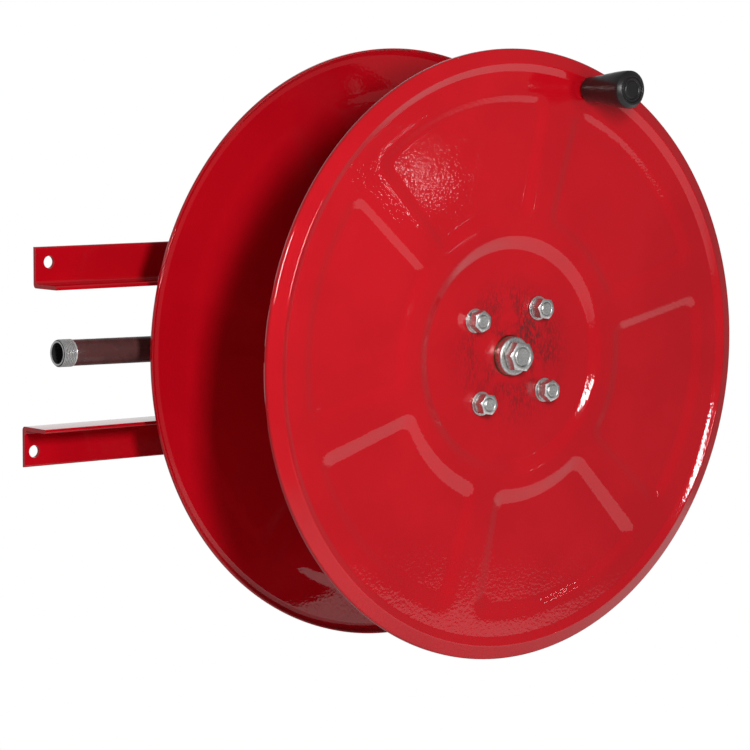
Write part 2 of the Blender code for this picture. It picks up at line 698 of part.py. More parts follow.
def handle():
    """Pin bolted through the disc, and the grip that spins on it under a snapped-in cap."""
    washer_edge = min(HANDLE_R + HANDLE_WASHER_R, DISC_R - BEAD_CREST)
    seat = FRONT_FIELD + rim_rise(washer_edge) + 2 * GAP
    base = seat + HANDLE_WASHER_T + GAP
    end = base + GRIP_LENGTH
    cap_floor = end - CAP_DEPTH - CAP_INSET
    head_top = cap_floor - HEAD_ROOM
    head_low = head_top - PIN_HEAD_H
    nut_top = FRONT_INNER - GAP
    pin_low = nut_top - HANDLE_NUT_H - PIN_END
    spot = handle_point()

    washer = [circle(HANDLE_WASHER_R, SMALL_STEPS), circle(PIN_R + GAP, SMALL_STEPS)]
    add("handle_washer", prism(washer, seat, seat + HANDLE_WASHER_T), reel_axis, "zinc", spot)
    nut = prism(hexagon(HANDLE_NUT_AF, PIN_R + GAP), nut_top - HANDLE_NUT_H, nut_top)
    add("handle_nut", nut, reel_axis, "zinc", spot)
    pin = [
        (0, head_top), (PIN_HEAD_R, head_top), (PIN_HEAD_R, head_low),
        (PIN_SHOULDER_R, head_low), (PIN_SHOULDER_R, base), (PIN_R, base),
        (PIN_R, pin_low), (0, pin_low),
    ]
    turned("handle_pin", pin, reel_axis, "zinc", SMALL_STEPS, location=spot)

    cap_r = GRIP_END_R - GRIP_RIM - GRIP_LIP
    bore = PIN_SHOULDER_R + GAP
    pocket = PIN_HEAD_R + GAP
    grip = [
        (cap_r, end), (GRIP_END_R - GRIP_RIM, end), (GRIP_END_R, end - GRIP_RIM),
        (GRIP_END_R, end - 2 * GRIP_RIM),
        (GRIP_WAIST_R, base + GRIP_WAIST),
        (GRIP_BASE_R, base + GRIP_ROUND), (GRIP_BASE_R - GRIP_ROUND, base),
        (bore, base), (bore, head_low - GAP), (pocket, head_low - GAP),
        (pocket, cap_floor - GAP), (cap_r, cap_floor - GAP),
    ]
    turned("grip", grip, grip_axis, "black_plastic")
    cap = [(0, end - CAP_INSET), (cap_r - GAP, end - CAP_INSET), (cap_r - GAP, cap_floor),
           (0, cap_floor)]
    turned("grip_end_cap", cap, grip_axis, "black_plastic")


# Wall frame and water inlet

def along_bar(mesh):
    """Turn a section drawn as (up, out from the wall) so that its length runs along x."""
    mesh.transform(Matrix.Rotation(pi / 2, 4, "Z") @ Matrix.Rotation(pi / 2, 4, "X"))
    return mesh


def angle_section():
    """Section of the upper bar, its legs on the wall and standing out from it."""
    low = BAR_SPREAD
    top = low + ANGLE_LEG
    inner = low + ANGLE_T
    back = arc((low + ANGLE_ROOT, ANGLE_ROOT), ANGLE_ROOT, -pi / 2, -pi, CORNER_STEPS)
    tip = (inner - ANGLE_TOE, ANGLE_LEG - ANGLE_TOE)
    toe_out = arc(tip, ANGLE_TOE, pi / 2, 0, TOE_STEPS)
    hollow = (inner + ANGLE_ROOT, ANGLE_T + ANGLE_ROOT)
    root = arc(hollow, ANGLE_ROOT, pi, 1.5 * pi, CORNER_STEPS)
    toe_up = arc((top - ANGLE_TOE, ANGLE_T - ANGLE_TOE), ANGLE_TOE, pi / 2, 0, TOE_STEPS)
    return [(top, 0), *back, (low, ANGLE_LEG), *toe_out, *root, *toe_up]


def angle_bars():
    """Two alike bars, the lower one turned half round the frame's middle."""
    fix_height = BAR_SPREAD + FIX_HOLE_RISE
    bolt_hole = cylinder(CARRIER_BOLT_R + BOLT_PLAY, 0, 2 * BAR_SPREAD)
    for name, turn in (("upper_angle_bar", 0), ("lower_angle_bar", pi)):
        face_up = {"rotation": (0, 0, turn)}
        section = along_bar(prism([angle_section()], -BAR_NEAR, BAR_FAR))
        bar = add(name, section, frame_axis, "red_paint", **face_up)
        for reach in (-BAR_NEAR + FIX_HOLE_NEAR, BAR_FAR - FIX_HOLE_FAR):
            hole = cylinder(FIX_HOLE_R, -ANGLE_T, 2 * ANGLE_T, ROUND_STEPS, (reach, fix_height))
            cut(bar, hole, **face_up)
        for reach in (-CARRIER_BOLT_X, CARRIER_BOLT_X):
            hole = bolt_hole.copy()
            hole.transform(Matrix.Rotation(-pi / 2, 4, "X"))
            hole.transform(Matrix.Translation((reach, 0, CARRIER_BOLT_OUT)))
            cut(bar, hole, **face_up)


def carrier():
    """Folded channel between the bars, with the spindle's hole in its web and the bolts that hold it."""
    outer = BAR_SPREAD - GAP
    inner = outer - CARRIER_T
    bend = CARRIER_BEND
    inside = bend - CARRIER_T
    half = arc((outer - bend, WEB_FRONT - bend), bend, pi / 2, 0, CORNER_STEPS)
    half += [Vector((outer, CARRIER_WALL_CLEAR)), Vector((inner, CARRIER_WALL_CLEAR))]
    half += arc((inner - inside, WEB_BACK - inside), inside, 0, pi / 2, TOE_STEPS)
    section = half + [Vector((-point.x, point.y)) for point in reversed(half)]
    mesh = along_bar(prism([section], -CARRIER_HALF, CARRIER_HALF))
    channel = add("carrier_channel", mesh, frame_axis, "red_paint")
    spindle_hole = cylinder(SPINDLE_THREAD_R + GAP, WEB_BACK - CARRIER_T, WEB_FRONT + CARRIER_T, ROUND_STEPS)
    cut(channel, spindle_hole, location=(0, -FRAME_LIFT, 0))
    for reach in (-CARRIER_BOLT_X, CARRIER_BOLT_X):
        hole = cylinder(CARRIER_BOLT_R + BOLT_PLAY, -2 * outer, 2 * outer)
        cut(channel, hole, location=(reach, 0, CARRIER_BOLT_OUT), rotation=(pi / 2, 0, 0))

    head = BAR_SPREAD + ANGLE_T + GAP
    nut_top = inner - GAP
    nut_low = nut_top - CARRIER_NUT_H
    upright = Matrix.Translation((0, 0, CARRIER_BOLT_OUT)) @ Matrix.Rotation(-pi / 2, 4, "X")
    places = []
    for turn in (0, pi):
        for reach in (-CARRIER_BOLT_X, CARRIER_BOLT_X):
            spot = Matrix.Translation((reach, 0, 0))
            places.append(Matrix.Rotation(turn, 4, "Z") @ spot @ upright)
    stem = bolt(CARRIER_BOLT_AF, head, head + CARRIER_HEAD, CARRIER_BOLT_R,
                nut_low - CARRIER_BOLT_END)
    pattern("carrier_bolt", stem, places, frame_axis, "zinc")
    nut = prism(hexagon(CARRIER_BOLT_AF, CARRIER_BOLT_R + GAP), nut_low, nut_top)
    pattern("carrier_nut", nut, places, frame_axis, "zinc")


def water_inlet():
    """Supply pipe along the wall, with its threaded end and the elbow that feeds the spindle."""
    inlet_axis = new_empty("inlet_axis", wall_axis, rotation=(0, 0, -INLET_TILT))
    along_pipe = {"location": (0, 0, PIPE_OUT), "rotation": (0, -pi / 2, 0)}
    pipe_start = ELBOW_ARM - ELBOW_SOCKET
    pipe_end = INLET_REACH - INLET_THREAD_LENGTH
    pipe = ring(PIPE_BORE_R, PIPE_R, pipe_start, pipe_end - GAP)
    turned("inlet_pipe", pipe, inlet_axis, "maroon_paint", **along_pipe)
    chamfer = INLET_THREAD_R - PIPE_R
    nipple = [
        (PIPE_R, INLET_REACH), (INLET_THREAD_R, INLET_REACH - chamfer),
        (INLET_THREAD_R, pipe_end), (PIPE_BORE_R, pipe_end), (PIPE_BORE_R, INLET_REACH),
    ]
    turned("inlet_nipple", nipple, inlet_axis, "galvanised", **along_pipe)

    def arm(radius, face):
        band = face - ELBOW_BAND
        return [(0, face), (ELBOW_BAND_R, face), (ELBOW_BAND_R, band), (radius, band)]

    def passage(low, bore, socket, socket_r, face):
        past = face + ELBOW_BAND
        return [(0, past), (socket_r, past), (socket_r, socket), (bore, socket), (bore, low), (0, low)]

    dome = [tuple(point) for point in arc((0, 0), ELBOW_R, 0, -pi / 2, CORNER_STEPS)[:-1]]
    body = arm(ELBOW_R, ELBOW_ARM) + dome + [(0, -ELBOW_R)]
    elbow = turned("inlet_elbow", body, inlet_axis, "cast_iron", ELBOW_STEPS, **along_pipe)
    front = arm(ELBOW_FRONT_R, ELBOW_FACE) + [(ELBOW_FRONT_R, PIPE_OUT), (0, PIPE_OUT)]
    combine(elbow, turned("elbow_front_arm", front, inlet_axis, None, ELBOW_STEPS), "UNION")
    pipe_way = passage(0, PIPE_BORE_R, pipe_start - GAP, PIPE_R + GAP, ELBOW_ARM)
    pipe_cut = turned("elbow_pipe_way", pipe_way, inlet_axis, None, ELBOW_STEPS, **along_pipe)
    combine(elbow, pipe_cut, "DIFFERENCE")
    spindle_way = passage(PIPE_OUT - SPINDLE_BORE_R, SPINDLE_BORE_R, SPINDLE_ROOT - GAP,
                          SPINDLE_THREAD_R + GAP, ELBOW_FACE)
    spindle_cut = turned("elbow_spindle_way", spindle_way, inlet_axis, None, ELBOW_STEPS)
    combine(elbow, spindle_cut, "DIFFERENCE")


for item in list(bpy.data.objects):
    bpy.data.objects.remove(item, do_unlink=True)
parts = new_collection("fire_hose_reel")
cutters = new_collection("cutters")
wall_axis = new_empty("wall_axis", rotation=(pi / 2, 0, 0))
frame_axis = new_empty("frame_axis", wall_axis, (0, FRAME_LIFT, 0))
reel_axis = new_empty("reel_axis", wall_axis)
grip_axis = new_empty("grip_axis", reel_axis, handle_point())

discs()
tie_bolts()
hub()
drum()
hose_outlet()
bushes_and_seals()
spindle()
handle()
angle_bars()
carrier()
water_inlet()
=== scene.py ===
# %% [markdown]
# # A wall-hung fire hose reel
# This lesson dresses a finished set of parts. The sizes, places and joints come with the frame, and
# here every part gets the surface that the real one has: pressed and painted steel discs, plated
# nuts, a threaded inlet, a moulded grip. The frame is loaded first, and the boxes of its parts give
# the sizes of the dressed pieces. The dressed model has to stay inside it.

# %% Load the frame
import json
from math import asin, atan2, cos, hypot, pi, radians, sin, sqrt, tan, tau

import bmesh
import bpy
from mathutils import Matrix, Vector

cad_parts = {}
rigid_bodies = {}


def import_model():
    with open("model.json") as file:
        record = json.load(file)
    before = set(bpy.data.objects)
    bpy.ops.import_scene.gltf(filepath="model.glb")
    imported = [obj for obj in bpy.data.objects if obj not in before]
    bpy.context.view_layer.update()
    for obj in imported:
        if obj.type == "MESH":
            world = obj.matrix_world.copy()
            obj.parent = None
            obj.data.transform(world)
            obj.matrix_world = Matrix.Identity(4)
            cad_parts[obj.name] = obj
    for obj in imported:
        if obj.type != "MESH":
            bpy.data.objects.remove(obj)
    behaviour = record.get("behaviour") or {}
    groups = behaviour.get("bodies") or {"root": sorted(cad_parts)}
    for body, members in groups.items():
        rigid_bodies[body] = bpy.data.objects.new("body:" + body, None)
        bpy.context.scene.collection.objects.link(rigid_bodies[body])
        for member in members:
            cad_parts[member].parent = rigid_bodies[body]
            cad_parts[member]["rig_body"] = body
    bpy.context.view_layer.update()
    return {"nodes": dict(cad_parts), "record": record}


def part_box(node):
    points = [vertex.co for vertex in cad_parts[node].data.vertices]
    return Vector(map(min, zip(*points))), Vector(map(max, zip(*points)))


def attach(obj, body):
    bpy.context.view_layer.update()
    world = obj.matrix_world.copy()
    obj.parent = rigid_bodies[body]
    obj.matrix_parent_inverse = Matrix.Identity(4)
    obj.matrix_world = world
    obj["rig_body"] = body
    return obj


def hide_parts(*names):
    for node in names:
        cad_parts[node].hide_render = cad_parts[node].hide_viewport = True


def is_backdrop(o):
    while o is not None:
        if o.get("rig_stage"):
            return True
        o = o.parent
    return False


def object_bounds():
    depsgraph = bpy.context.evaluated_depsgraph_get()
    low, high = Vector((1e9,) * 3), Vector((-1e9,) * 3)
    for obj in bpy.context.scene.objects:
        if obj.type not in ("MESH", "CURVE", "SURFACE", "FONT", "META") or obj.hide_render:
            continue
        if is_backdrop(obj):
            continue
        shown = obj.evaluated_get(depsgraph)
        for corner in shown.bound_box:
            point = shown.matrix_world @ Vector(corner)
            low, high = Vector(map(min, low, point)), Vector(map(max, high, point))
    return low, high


for leftover in list(bpy.data.objects):
    bpy.data.objects.remove(leftover)
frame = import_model()
scene = bpy.context.scene

# %% [markdown]
# ## The reel's own frame
# Everything on this object is turned or stacked along one line, the reel's axis, which stands
# square to the wall. Drawing is easier in a frame of its own: x to the right, y up, and z the
# distance out from the wall. One matrix turns that frame to face the room, so a profile can be
# written as radius and height and still land on the part that it stands for.

# %% Frame of the reel and reading of sizes
REEL = Matrix.Rotation(pi / 2, 4, "X")


def span(node):
    """How far out from the wall a part starts and ends."""
    low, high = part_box(node)
    return -high.y, -low.y


def middle(node):
    """Centre of a part in the reel's frame."""
    low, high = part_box(node)
    centre = (low + high) / 2
    return Vector((centre.x, centre.z, -centre.y))


def half_width(node):
    low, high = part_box(node)
    return (high.x - low.x) / 2


def put(name, data):
    """New object in the scene."""
    made = bpy.data.objects.new(name, data)
    scene.collection.objects.link(made)
    return made


DISC_R = half_width("front_disc")
print("disc diameter in mm:", round(2000 * DISC_R, 1))

# %% [markdown]
# ## Camera
# The view was solved from the outlines of the two discs: two equal circles at a known distance
# fix where the lens stood. A long lens far away keeps the discs almost the same size. The camera's
# axes are built from its heading, its tilt and its very small roll.

# %% Camera at the photograph's place
IMAGE_WIDTH_PX = 750
FOCAL_PX = 3274.24
SENSOR_MM = 36
CAMERA_PLACE = Vector((-2.1031, -2.6712, 0.2964))
HEADING = radians(38.674)
TILT = radians(-5.637)
ROLL = radians(0.143)


def make_camera():
    data = bpy.data.cameras.new("camera")
    data.sensor_width = SENSOR_MM
    data.lens = SENSOR_MM * FOCAL_PX / IMAGE_WIDTH_PX
    data.clip_start = 0.05
    data.clip_end = 60
    forward = Vector((sin(HEADING) * cos(TILT), cos(HEADING) * cos(TILT), sin(TILT)))
    level = forward.cross(Vector((0, 0, 1))).normalized()
    upward = level.cross(forward)
    right = cos(ROLL) * level + sin(ROLL) * upward
    up = cos(ROLL) * upward - sin(ROLL) * level
    camera = put("camera", data)
    axes = Matrix((right, up, -forward)).transposed().to_4x4()
    camera.matrix_world = Matrix.Translation(CAMERA_PLACE) @ axes
    scene.camera = camera
    return camera


camera = make_camera()
print("lens in mm:", round(camera.data.lens, 1))

# %% [markdown]
# ## Material helpers
# A material is a small graph. Two helpers keep the graphs short to write: one adds a node and sets
# or links its inputs in the same call, the other makes a material with a Principled shader. Every
# pattern reads the piece's own coordinates in metres, so it keeps its real size and travels with
# the piece when the reel turns.

# %% Node helpers


def fill(tree, socket, value):
    if isinstance(value, bpy.types.NodeSocket):
        tree.links.new(value, socket)
    else:
        socket.default_value = value


def add(tree, kind, inputs, **settings):
    """Add a node, set its options, and set or link its inputs by name or number."""
    made = tree.nodes.new("ShaderNode" + kind)
    for key, value in settings.items():
        setattr(made, key, value)
    for key, value in inputs.items():
        fill(tree, made.inputs[key], value)
    return made


def math(tree, operation, first, second=0.0):
    return add(tree, "Math", {0: first, 1: second}, operation=operation).outputs[0]


def times(tree, first, *others):
    """Product of two or more values."""
    for other in others:
        first = math(tree, "MULTIPLY", first, other)
    return first


def noise(tree, place, scale, detail=2.0, rough=0.5):
    inputs = {"Vector": place, "Scale": scale, "Detail": detail, "Roughness": rough}
    return add(tree, "TexNoise", inputs).outputs["Fac"]


def ramp(tree, value, low, high, start=0.0, end=1.0):
    """Bring a value from one range to another with soft ends."""
    inputs = {"Value": value, "From Min": low, "From Max": high, "To Min": start, "To Max": end}
    return add(tree, "MapRange", inputs, interpolation_type="SMOOTHSTEP").outputs["Result"]


def mix(tree, share, first, second):
    """Blend two colours."""
    made = add(tree, "Mix", {"Factor": share}, data_type="RGBA")
    fill(tree, made.inputs[6], first)
    fill(tree, made.inputs[7], second)
    return made.outputs[2]


def bump(tree, height, distance, under=None):
    inputs = {"Height": height, "Distance": distance, "Strength": 1.0}
    if under is not None:
        inputs["Normal"] = under
    return add(tree, "Bump", inputs).outputs["Normal"]


def start_material(name):
    material = bpy.data.materials.new(name)
    material.use_nodes = True
    tree = material.node_tree
    shader = tree.nodes["Principled BSDF"]
    place = add(tree, "TexCoord", {}).outputs["Object"]
    return material, tree, shader, place


def axis_distance(tree, place, first, second):
    """Distance of a point from the piece's own axis, from two of its coordinates."""
    split = add(tree, "SeparateXYZ", {0: place}).outputs
    return math(tree, "SQRT", math(tree, "ADD", math(tree, "POWER", split[first], 2.0),
                                   math(tree, "POWER", split[second], 2.0)))


# %% [markdown]
# ## Red enamel
# The sheet metal wears a thick coat of gloss red enamel. Up close such a coat is never flat: it
# dries with orange peel, a ripple some three millimetres long, over a slower waviness of the
# sheet. Both are bump, far too small to model. The colour drifts a little, and dust dulls the
# gloss in patches. On the discs, grease from assembly is smeared round the hub nuts, and the
# rolled edge has lost specks of paint.

# %% Red enamel
ENAMEL = (0.56, 0.0035, 0.0108, 1)
ENAMEL_DEEP = (0.51, 0.0024, 0.0092, 1)
GREASE = (0.040, 0.008, 0.009, 1)
BARE_EDGE = (0.60, 0.34, 0.32, 1)
PEEL_PER_M = 300
PEEL_DEPTH = 0.00008
WAVE_PER_M = 26
WAVE_DEPTH = 0.00016
GREASE_FROM = 0.030
GREASE_TO = 0.088
GREASE_COVER = 0.85
GREASE_DULL = 0.35
WORN_FROM = 0.0022
WORN_TO = 0.0006


def paint_surface(tree, place):
    peel = noise(tree, place, PEEL_PER_M, 1.5, 0.45)
    wave = noise(tree, place, WAVE_PER_M, 1.0, 0.4)
    return bump(tree, peel, PEEL_DEPTH, bump(tree, wave, WAVE_DEPTH))


def paint_colour(tree, place):
    drift = ramp(tree, noise(tree, place, 9, 3.0), 0.35, 0.65)
    return mix(tree, drift, ENAMEL, ENAMEL_DEEP)


def assembly_marks(tree, place, colour, dull):
    """Grease brushed round the hub nuts, and specks worn off the rolled edge."""
    reach = axis_distance(tree, place, 0, 1)
    inside = ramp(tree, reach, GREASE_TO, GREASE_FROM)
    brushed = add(tree, "Mapping", {"Vector": place, "Rotation": (0, 0, 0.7),
                                    "Scale": (1.0, 0.35, 1.0)}).outputs[0]
    strokes = ramp(tree, noise(tree, brushed, 520, 3.0, 0.7), 0.40, 0.58)
    patches = ramp(tree, noise(tree, place, 34, 2.0), 0.32, 0.56)
    split = add(tree, "SeparateXYZ", {0: place}).outputs
    wiped = ramp(tree, math(tree, "ADD", split[0], split[1]), -0.06, 0.05, 0.6, 1.0)
    smear = times(tree, inside, strokes, patches, wiped)
    colour = mix(tree, times(tree, smear, GREASE_COVER), colour, GREASE)
    dull = math(tree, "ADD", dull, times(tree, smear, GREASE_DULL))
    edge = ramp(tree, reach, DISC_R - WORN_FROM, DISC_R - WORN_TO)
    specks = ramp(tree, noise(tree, place, 260, 2.0, 0.6), 0.75, 0.78)
    return mix(tree, times(tree, edge, specks), colour, BARE_EDGE), dull


def red_enamel(name, on_disc):
    material, tree, shader, place = start_material(name)
    colour = paint_colour(tree, place)
    dull = ramp(tree, noise(tree, place, 48, 4.0, 0.6), 0.35, 0.75, 0.035, 0.085)
    if on_disc:
        colour, dull = assembly_marks(tree, place, colour, dull)
    fill(tree, shader.inputs["Base Color"], colour)
    fill(tree, shader.inputs["Roughness"], dull)
    fill(tree, shader.inputs["Normal"], paint_surface(tree, place))
    shader.inputs["IOR"].default_value = 1.5
    return material


disc_enamel = red_enamel("red_enamel_disc", True)
frame_enamel = red_enamel("red_enamel_frame", False)
print("enamels made:", disc_enamel.name, frame_enamel.name)

# %% [markdown]
# ## Plated, cast and moulded finishes
# The other finishes are bare metal, one thinner paint, rubber and plastic. Bright zinc is a mirror
# made cloudy: its gloss changes from spot to spot and fine scratches cross it. On the galvanised
# thread, shade is painted into the colour: its roots and its bore are painted dark, so its colour
# follows the distance from the pipe's axis. Cast iron is matt and pitted. The moulded grip is nearly
# black, with a faint grain and wear on its gloss.

# %% Bare metals


def plated(name, bright, dark, gloss, rub, scratch_scale):
    """Metal whose tone and gloss change in small clouds, under fine scratches."""
    material, tree, shader, place = start_material(name)
    clouds = ramp(tree, noise(tree, place, 420, 4.0, 0.65), 0.30, 0.70)
    colour = mix(tree, clouds, dark, bright)
    along = add(tree, "Mapping", {"Vector": place, "Rotation": (0.4, 0.2, 0.9),
                                  "Scale": (1.0, 0.12, 1.0)}).outputs[0]
    scratches = noise(tree, along, scratch_scale, 3.0, 0.7)
    fill(tree, shader.inputs["Base Color"], colour)
    fill(tree, shader.inputs["Roughness"], ramp(tree, clouds, 0.0, 1.0, rub, gloss))
    fill(tree, shader.inputs["Normal"], bump(tree, scratches, 0.00006))
    shader.inputs["Metallic"].default_value = 1.0
    return material


PIPE_BORE_R = 0.010
PIPE_THREAD_R = 0.0135
THREAD_ROOT = PIPE_THREAD_R - 0.0011
THREAD_CREST = PIPE_THREAD_R - 0.0002
BORE_SHADE_TO = PIPE_BORE_R + 0.0001
MOUTH_BRIGHT_FROM = PIPE_BORE_R + 0.0006
# Painted shade: the dark colour painted into the thread's roots and its bore, where shade falls.
PAINTED_THREAD_SHADE = (0.06, 0.06, 0.06, 1)
ZINC_GREY = (0.55, 0.56, 0.56, 1)
ZINC_PALE = (0.88, 0.89, 0.88, 1)


def threaded_zinc(name):
    """Galvanised pipe thread, bright on its crests, with shade painted dark into its roots and its bore.
    """
    material, tree, shader, place = start_material(name)
    reach = axis_distance(tree, place, 0, 1)
    depth = math(tree, "ABSOLUTE", math(tree, "SUBTRACT", reach, THREAD_ROOT))
    crest = ramp(tree, depth, 0.0, THREAD_CREST - THREAD_ROOT)
    # Painted shade: the roots and the bore take the dark colour in place of the steel.
    unshaded = times(tree, crest, ramp(tree, reach, BORE_SHADE_TO, MOUTH_BRIGHT_FROM))
    clouds = noise(tree, place, 260, 3.0, 0.6)
    steel = mix(tree, clouds, ZINC_GREY, ZINC_PALE)
    fill(tree, shader.inputs["Base Color"], mix(tree, unshaded, PAINTED_THREAD_SHADE, steel))
    fill(tree, shader.inputs["Roughness"], ramp(tree, crest, 0.0, 1.0, 0.55, 0.24))
    fill(tree, shader.inputs["Normal"], bump(tree, clouds, 0.00004))
    shader.inputs["Metallic"].default_value = 0.5
    return material


# %% Thin paint, iron, rubber and plastic


def grained(name, light, dark, scale, depth, rough_low, rough_high, metallic=0.0):
    """Surface with a two-tone mottle and a fine grain, for paint, iron, rubber and plastic."""
    material, tree, shader, place = start_material(name)
    mottle = ramp(tree, noise(tree, place, scale / 6, 4.0, 0.6), 0.32, 0.68)
    grain = noise(tree, place, scale, 3.0, 0.6)
    fill(tree, shader.inputs["Base Color"], mix(tree, mottle, light, dark))
    fill(tree, shader.inputs["Roughness"], ramp(tree, mottle, 0.0, 1.0, rough_low, rough_high))
    fill(tree, shader.inputs["Normal"], bump(tree, grain, depth))
    shader.inputs["Metallic"].default_value = metallic
    return material


FINISH = {
    "red_paint": frame_enamel,
    "maroon_paint": grained("maroon_paint", (0.118, 0.043, 0.042, 1), (0.085, 0.031, 0.031, 1),
                            520, 0.00003, 0.26, 0.40),
    "zinc_plate": plated("zinc_plate", (0.78, 0.78, 0.77, 1), (0.44, 0.44, 0.43, 1),
                         0.32, 0.50, 900),
    "galvanised_steel": plated("galvanised_steel", (0.62, 0.63, 0.62, 1), (0.42, 0.43, 0.43, 1),
                               0.34, 0.5, 500),
    "cast_iron": grained("cast_iron", (0.10, 0.095, 0.09, 1), (0.06, 0.056, 0.052, 1),
                         700, 0.00012, 0.5, 0.7, 0.6),
    "bronze": plated("bronze", (0.30, 0.20, 0.10, 1), (0.16, 0.10, 0.05, 1), 0.3, 0.45, 700),
    "brass": plated("brass", (0.78, 0.60, 0.26, 1), (0.60, 0.44, 0.17, 1), 0.2, 0.34, 700),
    "seal_rubber": grained("seal_rubber", (0.022, 0.022, 0.022, 1), (0.012, 0.012, 0.012, 1),
                           900, 0.00003, 0.6, 0.8),
    "black_plastic": grained("black_plastic", (0.014, 0.0125, 0.0125, 1), (0.009, 0.008, 0.008, 1),
                             800, 0.000012, 0.28, 0.38),
}
thread_zinc = threaded_zinc("thread_zinc")
print("finishes:", sorted(FINISH))

# %% [markdown]
# ## Shaping helpers
# Three helpers make nearly every piece. A skin joins rings of points with four-sided faces, which
# is how a lathe, a thread, a nut or a bent pipe can all be described. A fillet eases the corners of
# a profile, because no real edge is perfectly sharp and a small round is what catches the light.
# A carve helper runs exact Booleans for plates with holes and keeps only the result.

# %% Skins, profiles and fillets
EDGE_ANGLE = radians(32)


def shade(mesh):
    mesh.shade_smooth()
    mesh.set_sharp_from_angle(angle=EDGE_ANGLE)
    return mesh


def mesh_from(work, name):
    mesh = bpy.data.meshes.new(name)
    work.to_mesh(mesh)
    work.free()
    return mesh


def skin(rings, loop=True, capped=False):
    """Faces between rings of points. A loop also joins the last ring to the first."""
    work = bmesh.new()
    rows = [[work.verts.new(point) for point in ring] for ring in rings]
    pairs = list(zip(rows, rows[1:]))
    if loop:
        pairs.append((rows[-1], rows[0]))
    for near, far in pairs:
        count = len(near)
        for step in range(count):
            after = (step + 1) % count
            work.faces.new((near[step], near[after], far[after], far[step]))
    if capped:
        work.faces.new(list(reversed(rows[0])))
        work.faces.new(rows[-1])
    bmesh.ops.recalc_face_normals(work, faces=work.faces)
    return shade(mesh_from(work, "skin"))


def circle(radius, height, steps, centre=(0, 0)):
    turns = [tau * step / steps for step in range(steps)]
    across, up = centre
    return [Vector((across + radius * cos(a), up + radius * sin(a), height)) for a in turns]


def eased(points, size, steps=4, closed=True):
    """Replace every corner of an outline with a small curve."""
    points = [Vector(point) for point in points]
    count = len(points)
    result = []
    for number, corner in enumerate(points):
        if not closed and number in (0, count - 1):
            result.append(corner)
            continue
        before = points[number - 1] - corner
        after = points[(number + 1) % count] - corner
        start = corner + before.normalized() * min(size, before.length / 2.2)
        end = corner + after.normalized() * min(size, after.length / 2.2)
        for step in range(steps + 1):
            t = step / steps
            result.append((1 - t) ** 2 * start + 2 * t * (1 - t) * corner + t * t * end)
    return result


def turned(profile, steps=72):
    """Closed ring from a profile of radius and height that does not touch the axis."""
    return skin([circle(radius, height, steps) for radius, height in profile])


def turned_solid(profile, steps=72):
    """Solid from an open profile, closed by flat ends."""
    return skin([circle(radius, height, steps) for radius, height in profile], False, True)


def ring_profile(inner, outer, low, high, ease):
    return eased([(inner, low), (outer, low), (outer, high), (inner, high)], ease)


# %% Booleans and placing


def settled(piece):
    """Mesh of an object with its modifiers applied."""
    bpy.context.view_layer.update()
    graph = bpy.context.evaluated_depsgraph_get()
    return bpy.data.meshes.new_from_object(piece.evaluated_get(graph))


def carve(mesh, tools):
    """Apply Booleans to a mesh: each tool is a mesh and DIFFERENCE or UNION."""
    blank = put("blank", mesh)
    helpers = [blank]
    for tool, operation in tools:
        helper = put("tool", tool)
        boolean = blank.modifiers.new("carve", "BOOLEAN")
        boolean.operation = operation
        boolean.object = helper
        helpers.append(helper)
    result = settled(blank)
    for helper in helpers:
        bpy.data.objects.remove(helper)
    return shade(result)


SLOT_OF = {row["node"]: row["material_slot"] for row in frame["record"]["subparts"]}


def dress(node, mesh, place=REEL, finish=None, soften=0.0, thickness=0.0):
    """Put a finished piece in a part's place, riding on the same body."""
    piece = put(node + "_finished", mesh)
    piece.matrix_world = place
    mesh.materials.clear()
    mesh.materials.append(finish or FINISH[SLOT_OF[node]])
    if thickness:
        sheet = piece.modifiers.new("sheet", "SOLIDIFY")
        sheet.thickness = thickness
        sheet.offset = -1
        sheet.use_even_offset = True
    if soften:
        round_edge = piece.modifiers.new("soft_edge", "BEVEL")
        round_edge.width = soften
        round_edge.segments = 2
        round_edge.limit_method = "ANGLE"
        round_edge.angle_limit = radians(40)
        round_edge.harden_normals = True
    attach(piece, frame["nodes"][node]["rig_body"])
    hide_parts(node)
    return piece


# %% [markdown]
# ## The pressed discs
# The two discs are the showpiece: one sheet each, pressed with a rolled rim, six sunk panels and
# a sunk hub. A displaced grid would need hundreds of thousands of faces to hold the panel edges, so
# the sheet is drawn along its own features instead. Rings of points follow the rim, the panels and
# the hub, stepping down each sloping wall, and the flats between them are simply filled. A guard
# ring just outside each wall keeps the flats perfectly flat in the shading. Where a wall glints
# depends on its slope, so each wall is written as its slopes at a few places: rounded at both ends
# and nearly even between them. The depth follows from the slopes. The rear disc is pressed shallower, with
# a narrower bead, because its inner face hardly glints at all.

# %% Disc sizes
SHEET = 0.0015
BEAD_RISE = 0.0038
FRONT_RIM = {"band": 0.0225, "crest": 0.0141, "rise": BEAD_RISE}
REAR_RIM = {"band": 0.0105, "crest": 0.0060, "rise": 0.0016}
SHOULDER_TILT = radians(20)
EDGE_ROLL = 0.0016
LIP_LENGTH = 0.0055
PANELS = 6
PANEL_INNER_R = 0.131
PANEL_OUTER_R = 0.2595
FRONT_SINK = 0.0027
REAR_SINK = 0.0015
PANEL_WALL = 0.016
PANEL_CROWN = 0.005
PANEL_ROUND = 0.0055
PANEL_CORNER = 0.016
PANEL_FLOOR_CORNER = 0.009
RIDGE_INNER = 0.018
RIDGE_OUTER = 0.028
HUB_RIM_R = 0.1205
HUB_FLOOR_R = 0.103
HUB_SINK = 0.005
DISC_BORE_R = 0.0199
FRONT_TURN = radians(15.5)
REAR_TURN = radians(54)
GUARD = 0.0008
SLOPE_STEPS = 6
RIM_STEPS = 288
HUB_STEPS = 144
BEAD_SLOPES = ((0.0, 0.0), (0.12, 0.84), (0.88, 1.0), (1.0, 0.0))
HUB_SLOPES = ((0.0, 0.0), (0.4, 0.9), (0.75, 1.0), (1.0, 0.0))
SHOULDER_SLOPES = ((0.0, 0.0), (0.1, 1.0), (1.0, 1.0))
